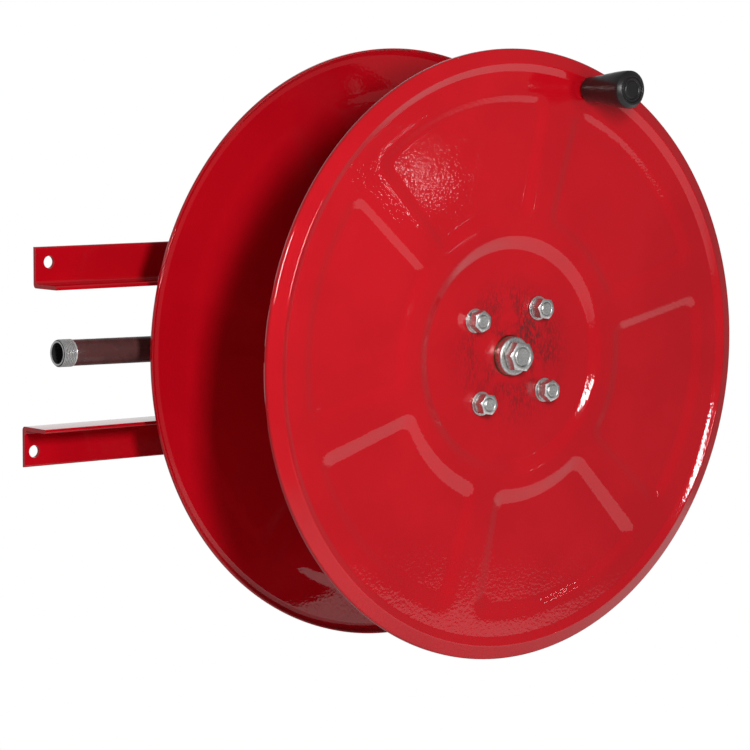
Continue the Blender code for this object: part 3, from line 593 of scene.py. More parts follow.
PANEL_SLOPES = ((-PANEL_CROWN, 0.0), (0.0, 0.1), (PANEL_ROUND, 1.0),
                (PANEL_WALL - PANEL_ROUND, 1.0), (PANEL_WALL, 0.0))

BOLTS = 4
BOLT_R = 0.006
BOLT_HOLE_R = 0.0065
bolt_spots = [middle(f"tie_nut_{number}") for number in range(1, BOLTS + 1)]
front_field = span("front_disc")[1] - BEAD_RISE
rear_field = span("rear_disc")[0] + BEAD_RISE
field_mm = [round(field * 1e3, 1) for field in (front_field, rear_field)]
print("flat faces of the discs in mm from the wall:", field_mm)

# %% Panel outline and wall curve


def wall_curve(slopes):
    """Places along a pressed wall with the share of its depth, from its slope at a few places."""
    places = [slopes[0][0]]
    depths = [0.0]
    for (start, first), (end, last) in zip(slopes, slopes[1:]):
        for step in range(SLOPE_STEPS):
            slope = first + (last - first) * (step + 0.5) / SLOPE_STEPS
            places.append(start + (end - start) * (step + 1) / SLOPE_STEPS)
            depths.append(depths[-1] + slope * (end - start) / SLOPE_STEPS)
    return [(place, depth / depths[-1]) for place, depth in zip(places, depths)]


def arc(centre, radius, start, end, steps):
    turns = [start + (end - start) * step / steps for step in range(steps + 1)]
    return [Vector((centre[0] + radius * cos(a), centre[1] + radius * sin(a))) for a in turns]


def panel_outline(inset, corner):
    """Outline of the panel along +x, moved in by an amount, with round corners."""
    inner = PANEL_INNER_R + inset
    outer = PANEL_OUTER_R - inset
    half = pi / PANELS
    at_inner = half - asin((RIDGE_INNER / 2 + inset) / inner)
    at_outer = half - asin((RIDGE_OUTER / 2 + inset) / outer)
    start = inner * Vector((cos(at_inner), sin(at_inner)))
    end = outer * Vector((cos(at_outer), sin(at_outer)))
    along = (end - start).normalized()
    inward = Vector((along.y, -along.x))

    def corner_centre(radius):
        offset = start + inward * corner
        lean = offset.dot(along)
        return offset + along * (sqrt(lean ** 2 - offset.length_squared + radius ** 2) - lean)

    outer_centre = corner_centre(outer - corner)
    inner_centre = corner_centre(inner + corner)
    outer_turn = atan2(outer_centre.y, outer_centre.x)
    inner_turn = atan2(inner_centre.y, inner_centre.x)
    side_turn = atan2(-inward.y, -inward.x)
    upper = arc((0, 0), outer, 0, outer_turn, 16)[:-1]
    upper += arc(outer_centre, corner, outer_turn, side_turn, 9)
    upper += arc(inner_centre, corner, side_turn, inner_turn + pi, 9)
    upper += arc((0, 0), inner, inner_turn, 0, 10)[1:]
    lower = [Vector((point.x, -point.y)) for point in reversed(upper[1:-1])]
    return upper + lower


def panel_rings(sink):
    """Outlines and rises of a panel from the guard ring on the field to the one on its floor."""
    squeeze = (PANEL_CORNER - PANEL_FLOOR_CORNER) / PANEL_WALL
    steps = [(-PANEL_CROWN - GUARD, 0.0), *wall_curve(PANEL_SLOPES), (PANEL_WALL + GUARD, 1.0)]
    rings = []
    for inset, share in steps:
        rings.append((panel_outline(inset, PANEL_CORNER - inset * squeeze), -sink * share))
    return rings


def rim_profile(band, crest, rise):
    """Radius and rise from the bead's foot, over its crest, round the edge and down the lip."""
    foot = DISC_R - band
    points = [(foot - GUARD, 0.0)]
    for place, share in wall_curve(BEAD_SLOPES):
        points.append((foot + (band - crest) * place, rise * share))
    shoulder = crest - EDGE_ROLL
    shoulder_drop = shoulder * tan(SHOULDER_TILT)
    for place, share in wall_curve(SHOULDER_SLOPES)[1:]:
        points.append((DISC_R - crest + shoulder * place, rise - shoulder_drop * share))
    roll = EDGE_ROLL / (1 - sin(SHOULDER_TILT))
    for step in range(1, 2 * SLOPE_STEPS + 1):
        turn = SHOULDER_TILT + (pi / 2 - SHOULDER_TILT) * step / 2 / SLOPE_STEPS
        drop = shoulder_drop + roll * (cos(SHOULDER_TILT) - cos(turn))
        points.append((DISC_R - roll * (1 - sin(turn)), rise - drop))
    points += [(DISC_R, GUARD - LIP_LENGTH), (DISC_R, -LIP_LENGTH)]
    return points


def hub_profile():
    """Radius and rise from the field, down the hub's wall and onto its sunk floor."""
    points = [(HUB_RIM_R + GUARD, 0.0)]
    for place, share in wall_curve(HUB_SLOPES):
        points.append((HUB_RIM_R + (HUB_FLOOR_R - HUB_RIM_R) * place, -HUB_SINK * share))
    points.append((HUB_FLOOR_R - GUARD, -HUB_SINK))
    return points


# %% One pressed disc


def pressed_disc(field, outward, turn, holes, rim, sink):
    """Skin of a disc: rings along every feature, and plain fills for the flats between them."""
    work = bmesh.new()

    def lay(outline, rise):
        points = [work.verts.new((x, y, field + outward * rise)) for x, y in outline]
        return [work.edges.new(pair) for pair in zip(points, points[1:] + points[:1])], points

    def wall(rings):
        laid = [lay(outline, rise) for outline, rise in rings]
        for (_, near), (_, far) in zip(laid, laid[1:]):
            for step in range(len(near)):
                after = (step + 1) % len(near)
                work.faces.new((near[step], near[after], far[after], far[step]))
        return laid[0][0], laid[-1][0]

    def flat_circle(radius, steps, centre=(0, 0)):
        return [point.to_2d() for point in circle(radius, 0, steps, centre)]

    def hole(radius, steps, centre=(0, 0)):
        """Guarded hole in the hub's floor; its outer ring bounds the flat."""
        rings = [flat_circle(radius + edge, steps, centre) for edge in (GUARD, 0)]
        return wall([(ring, -HUB_SINK) for ring in rings])[0]

    rim_rings = [(flat_circle(radius, RIM_STEPS), rise) for radius, rise in rim_profile(**rim)]
    hub_rings = [(flat_circle(radius, HUB_STEPS), rise) for radius, rise in hub_profile()]
    rim_foot, _ = wall(rim_rings)
    hub_edge, hub_foot = wall(hub_rings)
    field_edges = rim_foot + hub_edge
    outlines = panel_rings(sink)
    for panel in range(PANELS):
        spin = Matrix.Rotation(turn + tau * (panel + 0.5) / PANELS, 2)
        rings = [([spin @ point for point in outline], rise) for outline, rise in outlines]
        top, floor = wall(rings)
        field_edges = field_edges + top
        bmesh.ops.triangle_fill(work, edges=floor, use_beauty=True)
    hub_edges = hub_foot + hole(DISC_BORE_R, 64)
    for spot in holes:
        hub_edges = hub_edges + hole(BOLT_HOLE_R, 32, spot)
    bmesh.ops.triangle_fill(work, edges=field_edges, use_beauty=True)
    bmesh.ops.triangle_fill(work, edges=hub_edges, use_beauty=True)
    bmesh.ops.recalc_face_normals(work, faces=work.faces)
    if rim_foot[0].link_faces[0].normal.z * outward < 0:
        bmesh.ops.reverse_faces(work, faces=work.faces)
    return shade(mesh_from(work, "pressed_disc"))


bolt_centres = [(spot.x, spot.y) for spot in bolt_spots]
front_skin = pressed_disc(front_field, 1, FRONT_TURN, bolt_centres, FRONT_RIM, FRONT_SINK)
front_disc = dress("front_disc", front_skin, finish=disc_enamel, thickness=SHEET)
rear_skin = pressed_disc(rear_field, -1, REAR_TURN, bolt_centres, REAR_RIM, REAR_SINK)
dress("rear_disc", rear_skin, finish=disc_enamel, thickness=SHEET)
print("faces in one disc's skin:", len(front_disc.data.polygons))

# %% [markdown]
# ## The drum
# Between the discs stands the drum that the hose is wound on: a rolled steel band with an opening
# where the hose leaves its tail. A turned ring gives the band, and a Boolean cuts the opening. The
# band's edges are eased so that the cut sheet shows a soft line of light.

# %% Drum
DRUM_WALL = 0.002
APERTURE = 0.042
SHEET_EASE = 0.0005


def block(low, high):
    """Box between two corners in the reel's frame."""
    work = bmesh.new()
    size = Vector(high) - Vector(low)
    place = Matrix.Translation((Vector(high) + Vector(low)) / 2) @ Matrix.Diagonal((*size, 1))
    bmesh.ops.create_cube(work, size=1, matrix=place)
    return mesh_from(work, "block")


def dress_drum():
    low, high = span("drum_core")
    outer = half_width("drum_core")
    tail = middle("hose_tail")
    band = turned(ring_profile(outer - DRUM_WALL, outer, low, high, SHEET_EASE), 144)
    half = APERTURE / 2
    hole = block((tail.x - half, -2 * outer, tail.z - half),
                 (tail.x + half, -outer / 2, tail.z + half))
    dress("drum_core", carve(band, [(hole, "DIFFERENCE")]), soften=0.0004)


dress_drum()
print("drum diameter in mm:", round(2000 * half_width("drum_core"), 1))

# %% [markdown]
# ## Hexagons, washers and threads
# A real hexagon nut is a bar cut square and then turned to a shallow cone at both faces, and that
# cone leaves curved edges on the flats. The nut here is made the same way: every point of its
# outline drops by what the cone takes off at that radius. A thread is a skin too. Each ring's radius
# rises and falls with height and with the angle, so that the ridge climbs as a true helix.

# %% Nuts and bolt ends
CONE = 0.577
CONE_FROM = 0.475
FACE_SHARE = 0.472
HEX_STEPS = 72


def hex_reach(across_flats, turn):
    return across_flats / 2 / cos(turn % (pi / 3) - pi / 6)


def hex_ring(across_flats, height, drop_sign):
    """Ring of points on a hexagon, lowered or raised by the cone at every point."""
    face = CONE_FROM * across_flats
    points = []
    for step in range(HEX_STEPS):
        turn = tau * step / HEX_STEPS
        reach = hex_reach(across_flats, turn)
        drop = CONE * max(0.0, reach - face)
        points.append(Vector((reach * cos(turn), reach * sin(turn), height + drop_sign * drop)))
    return points


def hex_nut(across_flats, bore, low, high, sink=0.0009):
    """Nut with coned faces and a countersunk bore."""
    face = FACE_SHARE * across_flats
    rings = [
        circle(bore, low + sink, HEX_STEPS), circle(bore + sink, low, HEX_STEPS),
        circle(face, low, HEX_STEPS), hex_ring(across_flats, low, 1),
        hex_ring(across_flats, high, -1), circle(face, high, HEX_STEPS),
        circle(bore + sink, high, HEX_STEPS), circle(bore, high - sink, HEX_STEPS),
    ]
    return skin(rings)


def hex_head(across_flats, low, high):
    """Bolt head with its outer face, at the low end, turned to a cone."""
    face = FACE_SHARE * across_flats
    rings = [circle(face / 3, low, HEX_STEPS), circle(face, low, HEX_STEPS),
             hex_ring(across_flats, low, 1), hex_ring(across_flats, high, 0)]
    return skin(rings, False, True)


def thread_rings(radius, pitch, depth, low, high, steps, taper=0.0008, per_pitch=8):
    """Rings of a helical thread that fades into a small chamfer at its upper end."""
    rings = []
    count = max(2, round((high - low) / pitch * per_pitch))
    for row in range(count + 1):
        height = low + (high - low) * row / count
        limit = radius - max(0.0, taper - (high - height)) * 0.9
        fade = min(1.0, (height - low) / pitch)
        ring = []
        for step in range(steps):
            turn = tau * step / steps
            phase = (height / pitch - turn / tau) % 1.0
            ridge = 1 - abs(2 * phase - 1)
            reach = min(limit, radius - depth * fade * (1 - min(1.0, ridge * 1.25)))
            ring.append(Vector((reach * cos(turn), reach * sin(turn), height)))
        rings.append(ring)
    return rings


def threaded_bar(radius, pitch, depth, low, thread_low, high, steps=48):
    """Plain shank with a threaded end and a slightly sunk end face."""
    rings = [circle(radius, low, steps), circle(radius, thread_low, steps)]
    rings += thread_rings(radius, pitch, depth, thread_low + pitch / 8, high, steps)
    end = radius - 0.0016
    rings += [circle(end, high, steps), circle(end * 0.5, high - 0.0001, steps)]
    return skin(rings, False, True)


# %% Tie bolts, nuts and washers round the hub
NUT_AF = 0.019
WASHER_BORE = 0.0064
WASHER_EASE = 0.0004
SPRING_R = 0.0108
SPRING_EASE = 0.0003
SPRING_GAP = radians(14)
SPRING_RISE = 0.00044
BOLT_PITCH = 0.00175
BOLT_THREAD_DEPTH = 0.0009
BOLT_THREAD = 0.024
NUT_SOFTEN = 0.00025
FIT = 0.0001
PLAY = 0.0003
HEAD_OVERLAP = 0.002


def flat_washer(bore, node):
    """Plain washer of a part's own size, with eased edges."""
    return turned(ring_profile(bore, half_width(node), *span(node), WASHER_EASE))


def spring_washer(inner, outer, low, high):
    """Split ring whose ends stand a little apart, one above the other."""
    steps = 60
    section = eased([(inner, low), (outer, low), (outer, high), (inner, high)], SPRING_EASE, 2)
    rings = []
    for step in range(steps + 1):
        share = step / steps
        turn = SPRING_GAP / 2 + (tau - SPRING_GAP) * share
        lift = SPRING_RISE * (share - 0.5)
        rings.append([Vector((r * cos(turn), r * sin(turn), h + lift)) for r, h in section])
    return skin(rings, False, True)


def at_spot(spot, turn=0.0):
    return REEL @ Matrix.Translation((spot.x, spot.y, 0)) @ Matrix.Rotation(turn, 4, "Z")


def bolt_turn(spot):
    return atan2(spot.y, spot.x)


def dress_tie_bolts():
    nut = hex_nut(NUT_AF, BOLT_R + FIT, *span("tie_nut_1"))
    flat = flat_washer(WASHER_BORE, "front_washer_1")
    rear_flat = flat_washer(WASHER_BORE, "rear_washer_1")
    spring = spring_washer(WASHER_BORE, SPRING_R, *span("spring_washer_1"))
    low, high = span("tie_bolt_1")
    head_top = span("rear_washer_1")[0] - PLAY
    stem = threaded_bar(BOLT_R - FIT / 2, BOLT_PITCH, BOLT_THREAD_DEPTH, head_top - HEAD_OVERLAP,
                        high - BOLT_THREAD, high)
    bolt = carve(hex_head(NUT_AF, low, head_top), [(stem, "UNION")])
    for number, spot in enumerate(bolt_spots, 1):
        place = at_spot(spot, bolt_turn(spot))
        dress(f"tie_nut_{number}", nut.copy(), place, soften=NUT_SOFTEN)
        dress(f"front_washer_{number}", flat.copy(), place)
        dress(f"rear_washer_{number}", rear_flat.copy(), place)
        dress(f"spring_washer_{number}", spring.copy(), place)
        dress(f"tie_bolt_{number}", bolt.copy(), place)


dress_tie_bolts()
print("bolt circle radius in mm:", round(hypot(*bolt_centres[0]) * 1e3, 1))

# %% [markdown]
# ## The end of the spindle
# In the middle of the hub a turned collar and a large nut hold the reel on its fixed spindle. The
# collar has a small turned chamfer, the nut has the same coned faces as
# the small ones, and the spindle ends in a coarse thread just proud of the nut. Behind the reel,
# a thrust washer, a flange and a locknut follow the same spindle down to the elbow.

# %% Spindle, collar and nuts
SPINDLE_NUT_AF = 0.027
LOCKNUT_AF = 0.036
JOURNAL_R = 0.015
TIP_R = 0.009
FLANGE_R = 0.020
ROOT_R = 0.0132
FLANGE_T = 0.005
COLLAR_CHAMFER = 0.0012
TIP_PITCH = 0.002
TIP_THREAD_DEPTH = 0.0011
SPINDLE_NUT_TURN = radians(-7)
BIG_NUT_SOFTEN = 0.0003


def dress_spindle():
    low, high = span("spindle")
    collar_low, collar_high = span("spindle_collar")
    collar_r = half_width("spindle_collar")
    flange_high = span("rear_thrust_washer")[0] - PLAY
    flange_low = flange_high - FLANGE_T
    shoulder = collar_low - PLAY
    profile = [(ROOT_R - 0.004, low), (ROOT_R, low), (ROOT_R, flange_low), (FLANGE_R, flange_low),
               (FLANGE_R, flange_high), (JOURNAL_R, flange_high), (JOURNAL_R, shoulder),
               (TIP_R, shoulder), (TIP_R, collar_high)]
    steps = 64
    rings = [circle(r, h, steps) for r, h in eased(profile, 0.0006, 3, closed=False)]
    rings += thread_rings(TIP_R, TIP_PITCH, TIP_THREAD_DEPTH, collar_high + PLAY, high, steps, 0.0010)
    rings += [circle(TIP_R - 0.0018, high, steps), circle(0.003, high - 0.0002, steps)]
    dress("spindle", skin(rings, False, True))
    bore = TIP_R + PLAY
    collar = eased([(bore, collar_low), (collar_r, collar_low), (collar_r, collar_high - COLLAR_CHAMFER),
                    (collar_r - COLLAR_CHAMFER, collar_high), (bore, collar_high)], WASHER_EASE)
    dress("spindle_collar", turned(collar, 96))
    turn = Matrix.Rotation(SPINDLE_NUT_TURN, 4, "Z")
    nut = hex_nut(SPINDLE_NUT_AF, TIP_R + FIT, *span("spindle_nut"), 0.0012)
    dress("spindle_nut", nut, REEL @ turn, soften=BIG_NUT_SOFTEN)
    locknut = hex_nut(LOCKNUT_AF, ROOT_R + 2 * FIT, *span("spindle_locknut"), 0.0010)
    dress("spindle_locknut", locknut, soften=BIG_NUT_SOFTEN)
    dress("rear_thrust_washer", flat_washer(JOURNAL_R + PLAY, "rear_thrust_washer"))


dress_spindle()
print("spindle from the wall in mm:", [round(value * 1e3, 1) for value in span("spindle")])

# %% [markdown]
# ## The crank grip
# The reel is wound by a black moulded grip that spins on a pin near the rim. It swells towards its
# outer end, where a chamfered rim, a groove and an inset cap close it. A smooth curve through a
# few radii gives the swelling body; the rim keeps crisp edges. Its pin, washer and nut are plated.

# %% Grip, cap and pin
GRIP_BASE_R = 0.012
GRIP_ROUND = 0.002
GRIP_RIM = 0.0035
GROOVE = 0.0011
GROOVE_INSET = 0.0032
PIN_R = 0.005
PIN_SHOULDER_R = 0.006
PIN_HEAD_R = 0.0085
PIN_HEAD = 0.004
PIN_SEAT = 0.0045
PIN_PITCH = 0.0015
PIN_THREAD_DEPTH = 0.0008
HANDLE_NUT_AF = 0.017


def swell(base, end, base_r, end_r, steps=14):
    """Body curve of the grip: slow at the base, fuller towards the end."""
    points = []
    for step in range(steps + 1):
        t = step / steps
        ease = t * t * (3 - 2 * t) * 0.55 + t * 0.45
        points.append((base_r + (end_r - base_r) * ease, base + (end - base) * t))
    return points


def dress_grip(spot):
    base, end = span("grip")
    end_r = half_width("grip")
    cap_r = half_width("grip_end_cap")
    pocket = span("grip_end_cap")[0] - PLAY
    bore = PIN_SHOULDER_R + PLAY
    neck = base + GRIP_ROUND
    outside = [(GRIP_BASE_R - GRIP_ROUND, base), (GRIP_BASE_R - 0.0006, base + 0.0006)]
    outside += swell(neck, end - 2.4 * GRIP_RIM, GRIP_BASE_R, end_r)
    rim = eased([(end_r, end - 2.3 * GRIP_RIM), (end_r, end - GRIP_RIM), (end_r - GRIP_RIM, end),
                 (cap_r + 0.0004, end), (cap_r + 0.0002, pocket)], 0.0007, 4, closed=False)
    seat = span("handle_pin")[1] - PIN_SEAT
    seat_r = PIN_HEAD_R + PLAY
    inside = [(seat_r, pocket), (seat_r, seat), (bore, seat), (bore, base)]
    profile = outside + rim + inside
    dress("grip", turned(profile, 96), at_spot(spot))


def dress_grip_cap(spot):
    """Inset disc that closes the grip, with a groove round its edge."""
    low, face = span("grip_end_cap")
    cap_r = half_width("grip_end_cap")
    groove_r = cap_r - GROOVE_INSET
    cap = eased([(0.0004, low), (cap_r, low), (cap_r, face), (groove_r + GROOVE, face),
                 (groove_r + 0.0004, face - GROOVE), (groove_r - 0.0004, face - GROOVE),
                 (groove_r - GROOVE, face - 0.0002), (0.0004, face - 0.0004)], 0.0003, 3, closed=False)
    dress("grip_end_cap", turned_solid(cap, 96), at_spot(spot))


def dress_handle_pin(spot):
    """Pin with a flat head and a thread below, and its washer and its nut."""
    pin_low, pin_high = span("handle_pin")
    shoulder = span("handle_washer")[1] + PLAY
    nut_low, nut_high = span("handle_nut")
    pin = [circle(r, h, 48) for r, h in eased(
        [(0.002, pin_high), (PIN_HEAD_R, pin_high), (PIN_HEAD_R, pin_high - PIN_HEAD),
         (PIN_SHOULDER_R, pin_high - PIN_HEAD), (PIN_SHOULDER_R, shoulder), (PIN_R, shoulder)],
        0.0005, 3, closed=False)]
    thread = thread_rings(PIN_R, PIN_PITCH, PIN_THREAD_DEPTH, -nut_high, -pin_low, 48)
    pin += [[Vector((p.x, p.y, -p.z)) for p in ring] for ring in thread]
    dress("handle_pin", skin(pin, False, True), at_spot(spot))
    dress("handle_washer", flat_washer(PIN_R + PLAY, "handle_washer"), at_spot(spot))
    nut = hex_nut(HANDLE_NUT_AF, PIN_R + FIT, nut_low, nut_high)
    dress("handle_nut", nut, at_spot(spot), soften=NUT_SOFTEN)


grip_spot = middle("grip")
dress_grip(grip_spot)
dress_grip_cap(grip_spot)
dress_handle_pin(grip_spot)
print("grip length in mm:", round(1e3 * (span("grip")[1] - span("grip")[0]), 1))

# %% [markdown]
# ## Angle bars and carrier
# The reel hangs on two lengths of rolled angle iron. Rolled sections have a round heel, a fillet
# in the corner and soft toes, and the ends are sawn square. The section is drawn once and pushed
# along the bar, the holes are carved, and a small bevel softens every cut edge. The folded channel
# between the bars, which carries the spindle, is made in the same way.

# %% Bars
ANGLE_T = 0.004
HEEL = 0.004
TOE = 0.002
FIX_HOLE_R = 0.006
FIX_HOLE_RISE = 0.025
FIX_HOLE_NEAR = 0.0155
FIX_HOLE_FAR = 0.011
CARRIER_BOLT_R = 0.005
BOLT_PLAY = 0.0005
BAR_SOFTEN = 0.0005


def extrude_along_x(section, start, end):
    """Bar with a section of (up, out) points, from one end to the other."""
    return skin([[Vector((x, up, out)) for up, out in section] for x in (start, end)], False, True)


def rod(radius, start, end, steps=48):
    """Solid round tool between two points."""
    line = Vector(end) - Vector(start)
    turn = line.to_track_quat("Z", "Y").to_matrix().to_4x4()
    mesh = skin([circle(radius, 0, steps), circle(radius, line.length, steps)], False, True)
    mesh.transform(Matrix.Translation(start) @ turn)
    return mesh


def angle_section(low, leg):
    """Section of the upper bar, its legs on the wall and standing out from it."""
    top = low + leg
    inner = low + ANGLE_T
    points = [Vector((top, 0))]
    points += arc((low + HEEL, HEEL), HEEL, -pi / 2, -pi, 8)
    points += [Vector((low, leg))]
    points += arc((inner - TOE, leg - TOE), TOE, pi / 2, 0, 6)
    points += arc((inner + HEEL, ANGLE_T + HEEL), HEEL, pi, 1.5 * pi, 8)
    points += arc((top - TOE, ANGLE_T - TOE), TOE, pi / 2, 0, 6)
    return points


def dress_bar(node, flip):
    low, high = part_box(node)
    near, far = (-high.z, -low.z) if flip else (low.z, high.z)
    start, end = (-high.x, -low.x) if flip else (low.x, high.x)
    bar = extrude_along_x(angle_section(near, far - near), start, end)
    rise = near + FIX_HOLE_RISE
    fixings = (start + FIX_HOLE_NEAR, end - FIX_HOLE_FAR)
    tools = [rod(FIX_HOLE_R, (x, rise, -0.01), (x, rise, 0.01)) for x in fixings]
    for number in (1, 2):
        spot = middle(f"carrier_bolt_{number}")
        ends = (spot.x, 0, spot.z), (spot.x, near + 0.01, spot.z)
        tools.append(rod(CARRIER_BOLT_R + BOLT_PLAY, *ends))
    mesh = carve(bar, [(tool, "DIFFERENCE") for tool in tools])
    place = REEL @ Matrix.Rotation(pi if flip else 0, 4, "Z")
    dress(node, mesh, place, soften=BAR_SOFTEN)


dress_bar("upper_angle_bar", False)
dress_bar("lower_angle_bar", True)
print("bar length in mm:", round(2000 * half_width("upper_angle_bar"), 1))

# %% Carrier channel and its bolts
CARRIER_T = 0.004
CARRIER_BEND = 0.006
CARRIER_AF = 0.017
CARRIER_PITCH = 0.0015
CARRIER_THREAD_DEPTH = 0.0008
CARRIER_SHANK = 0.004


def dress_carrier(lift):
    back, front = span("carrier_channel")
    low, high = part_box("carrier_channel")
    outer = (high.z - low.z) / 2
    inner = outer - CARRIER_T
    inside = CARRIER_BEND - CARRIER_T
    half = arc((outer - CARRIER_BEND, front - CARRIER_BEND), CARRIER_BEND, pi / 2, 0, 8)
    half += [Vector((outer, back)), Vector((inner, back))]
    half += arc((inner - inside, front - CARRIER_T - inside), inside, 0, pi / 2, 6)
    section = half + [Vector((-point.x, point.y)) for point in reversed(half)]
    channel = extrude_along_x(section, low.x, high.x)
    tools = [rod(ROOT_R + PLAY, (0, -lift, front - 0.02), (0, -lift, front + 0.02), 64)]
    for number in (1, 2):
        spot = middle(f"carrier_bolt_{number}")
        ends = (spot.x, -0.2, spot.z), (spot.x, 0.2, spot.z)
        tools.append(rod(CARRIER_BOLT_R + BOLT_PLAY, *ends))
    mesh = carve(channel, [(tool, "DIFFERENCE") for tool in tools])
    dress("carrier_channel", mesh, REEL @ Matrix.Translation((0, lift, 0)), soften=BAR_SOFTEN)


def dress_carrier_bolts(lift):
    """Heads outside the bars, nuts inside the channel; the pair below points the other way."""
    end, top = [corner.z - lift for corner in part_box("carrier_bolt_1")]
    nut_low, nut_high = [corner.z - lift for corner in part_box("carrier_nut_1")]
    head_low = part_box("upper_angle_bar")[0].z - lift + ANGLE_T + PLAY
    stem = threaded_bar(CARRIER_BOLT_R, CARRIER_PITCH, CARRIER_THREAD_DEPTH, -head_low - HEAD_OVERLAP,
                        -head_low + CARRIER_SHANK, -end)
    bolt = carve(hex_head(CARRIER_AF, -top, -head_low), [(stem, "UNION")])
    nut = hex_nut(CARRIER_AF, CARRIER_BOLT_R + FIT, -nut_high, -nut_low)
    for number in range(1, 5):
        spot = middle(f"carrier_bolt_{number}")
        side = 1 if spot.y > 0 else -1
        upright = Matrix.Rotation(side * pi / 2, 4, "X")
        place = REEL @ Matrix.Translation((spot.x, lift, spot.z)) @ upright
        dress(f"carrier_bolt_{number}", bolt.copy(), place)
        dress(f"carrier_nut_{number}", nut.copy(), place, soften=NUT_SOFTEN)


frame_lift = middle("carrier_channel").y
dress_carrier(frame_lift)
dress_carrier_bolts(frame_lift)
print("carrier channel in mm:", [round(value * 1e3, 1) for value in span("carrier_channel")])

# %% [markdown]
# ## The water inlet
# Water comes in from the left through a painted pipe with a bare threaded end. The thread is the
# one part of the pipe that a fitter looks at, so it is modelled: a true helix of eight turns, a
# chamfered mouth and a bore whose darkness is painted shade. The pipe itself is a plain tube whose paint
# stops at the thread.
# The elbow behind the drum is a casting: two banded arms and a ball corner, joined, then softened
# by a voxel remesh so that the corners flow together as cast iron does.

# %% Pipe and thread
PIPE_R = 0.0128
INLET_REACH = 0.376
THREAD_LENGTH = 0.0155
ELBOW_ARM = 0.026
ELBOW_SOCKET = 0.0115
THREAD_PITCH = 0.001814
THREAD_DEPTH = 0.00116
MOUTH_CHAMFER = 0.0007
ALONG_PIPE = Matrix.Rotation(-pi / 2, 4, "Y")
PIPE_OUT = middle("inlet_pipe").z
INLET_TILT = atan2(middle("inlet_nipple").y, -middle("inlet_nipple").x)
INLET = REEL @ Matrix.Rotation(-INLET_TILT, 4, "Z")
PIPE_PLACE = INLET @ Matrix.Translation((0, 0, PIPE_OUT)) @ ALONG_PIPE


def dress_pipe():
    mouth = INLET_REACH
    end = mouth - THREAD_LENGTH
    tube = ring_profile(PIPE_BORE_R, PIPE_R, ELBOW_ARM - ELBOW_SOCKET, end - PLAY, 0.0003)
    dress("inlet_pipe", turned(tube, 96), PIPE_PLACE)
    steps = 96
    rings = [circle(PIPE_BORE_R, end, steps), circle(PIPE_R, end, steps)]
    rings += thread_rings(PIPE_THREAD_R, THREAD_PITCH, THREAD_DEPTH, end + PLAY, mouth - 0.0004,
                          steps, 0.0012, 16)
    rings += [circle(PIPE_THREAD_R - 0.0014, mouth, steps),
              circle(PIPE_BORE_R + MOUTH_CHAMFER, mouth, steps),
              circle(PIPE_BORE_R, mouth - MOUTH_CHAMFER, steps)]
    dress("inlet_nipple", skin(rings), PIPE_PLACE, finish=thread_zinc)


dress_pipe()
print("rise of the inlet in degrees:", round(INLET_TILT * 180 / pi, 2))

# %% Cast elbow
ELBOW_R = 0.0162
ELBOW_FRONT_R = 0.0154
ELBOW_BAND_R = 0.018
ELBOW_BAND = 0.0065
ELBOW_GRAIN = 0.0009


def dress_elbow():
    arm, out, face = ELBOW_ARM, PIPE_OUT, span("inlet_elbow")[1]
    body = rod(ELBOW_R, (-arm, 0, out), (0, 0, out))
    ball = bmesh.new()
    bmesh.ops.create_uvsphere(ball, u_segments=40, v_segments=20, radius=ELBOW_R * 1.01,
                              matrix=Matrix.Translation((0, 0, out)))
    corner = mesh_from(ball, "corner")
    joined = carve(body, [
        (corner, "UNION"), (rod(ELBOW_FRONT_R, (0, 0, out), (0, 0, face)), "UNION"),
        (rod(ELBOW_BAND_R, (-arm, 0, out), (ELBOW_BAND - arm, 0, out)), "UNION"),
        (rod(ELBOW_BAND_R, (0, 0, face - ELBOW_BAND), (0, 0, face)), "UNION"),
        (rod(PIPE_R + PLAY, (-arm - 0.01, 0, out), (-arm + 0.012, 0, out)), "DIFFERENCE"),
        (rod(ROOT_R + PLAY, (0, 0, face - 0.012), (0, 0, face + 0.01)), "DIFFERENCE")])
    casting = put("casting", joined)
    remesh = casting.modifiers.new("cast", "REMESH")
    remesh.mode = "VOXEL"
    remesh.voxel_size = ELBOW_GRAIN
    soften = casting.modifiers.new("flow", "SMOOTH")
    soften.iterations = 4
    cast = settled(casting)
    bpy.data.objects.remove(casting)
    cast.shade_smooth()
    dress("inlet_elbow", cast, INLET)
    return len(cast.polygons)


print("faces in the elbow:", dress_elbow())

# %% [markdown]
# ## Inside the drum
# The hub, its bronze bushes, the rubber seals and the hose outlet are hidden by the drum, but they
# show through the hose opening and when the reel is taken apart. They are turned or bent from the
# same helpers, with eased edges, and keep the sizes of the parts that they stand for.

# %% Hub, bushes and seals
HUB_TUBE_R = 0.0251
HUB_INNER_R = 0.0176
HUB_FLANGE_T = 0.006
BUSH_R = 0.0173
BUSH_RIM = 0.002
BOSS_R = 0.0193
OUTLET_R = 0.013
OUTLET_BORE_R = 0.0095
OUTLET_BEND = 0.030
OUTLET_SOCKET_R = 0.0134
OUTLET_SOCKET = 0.0108


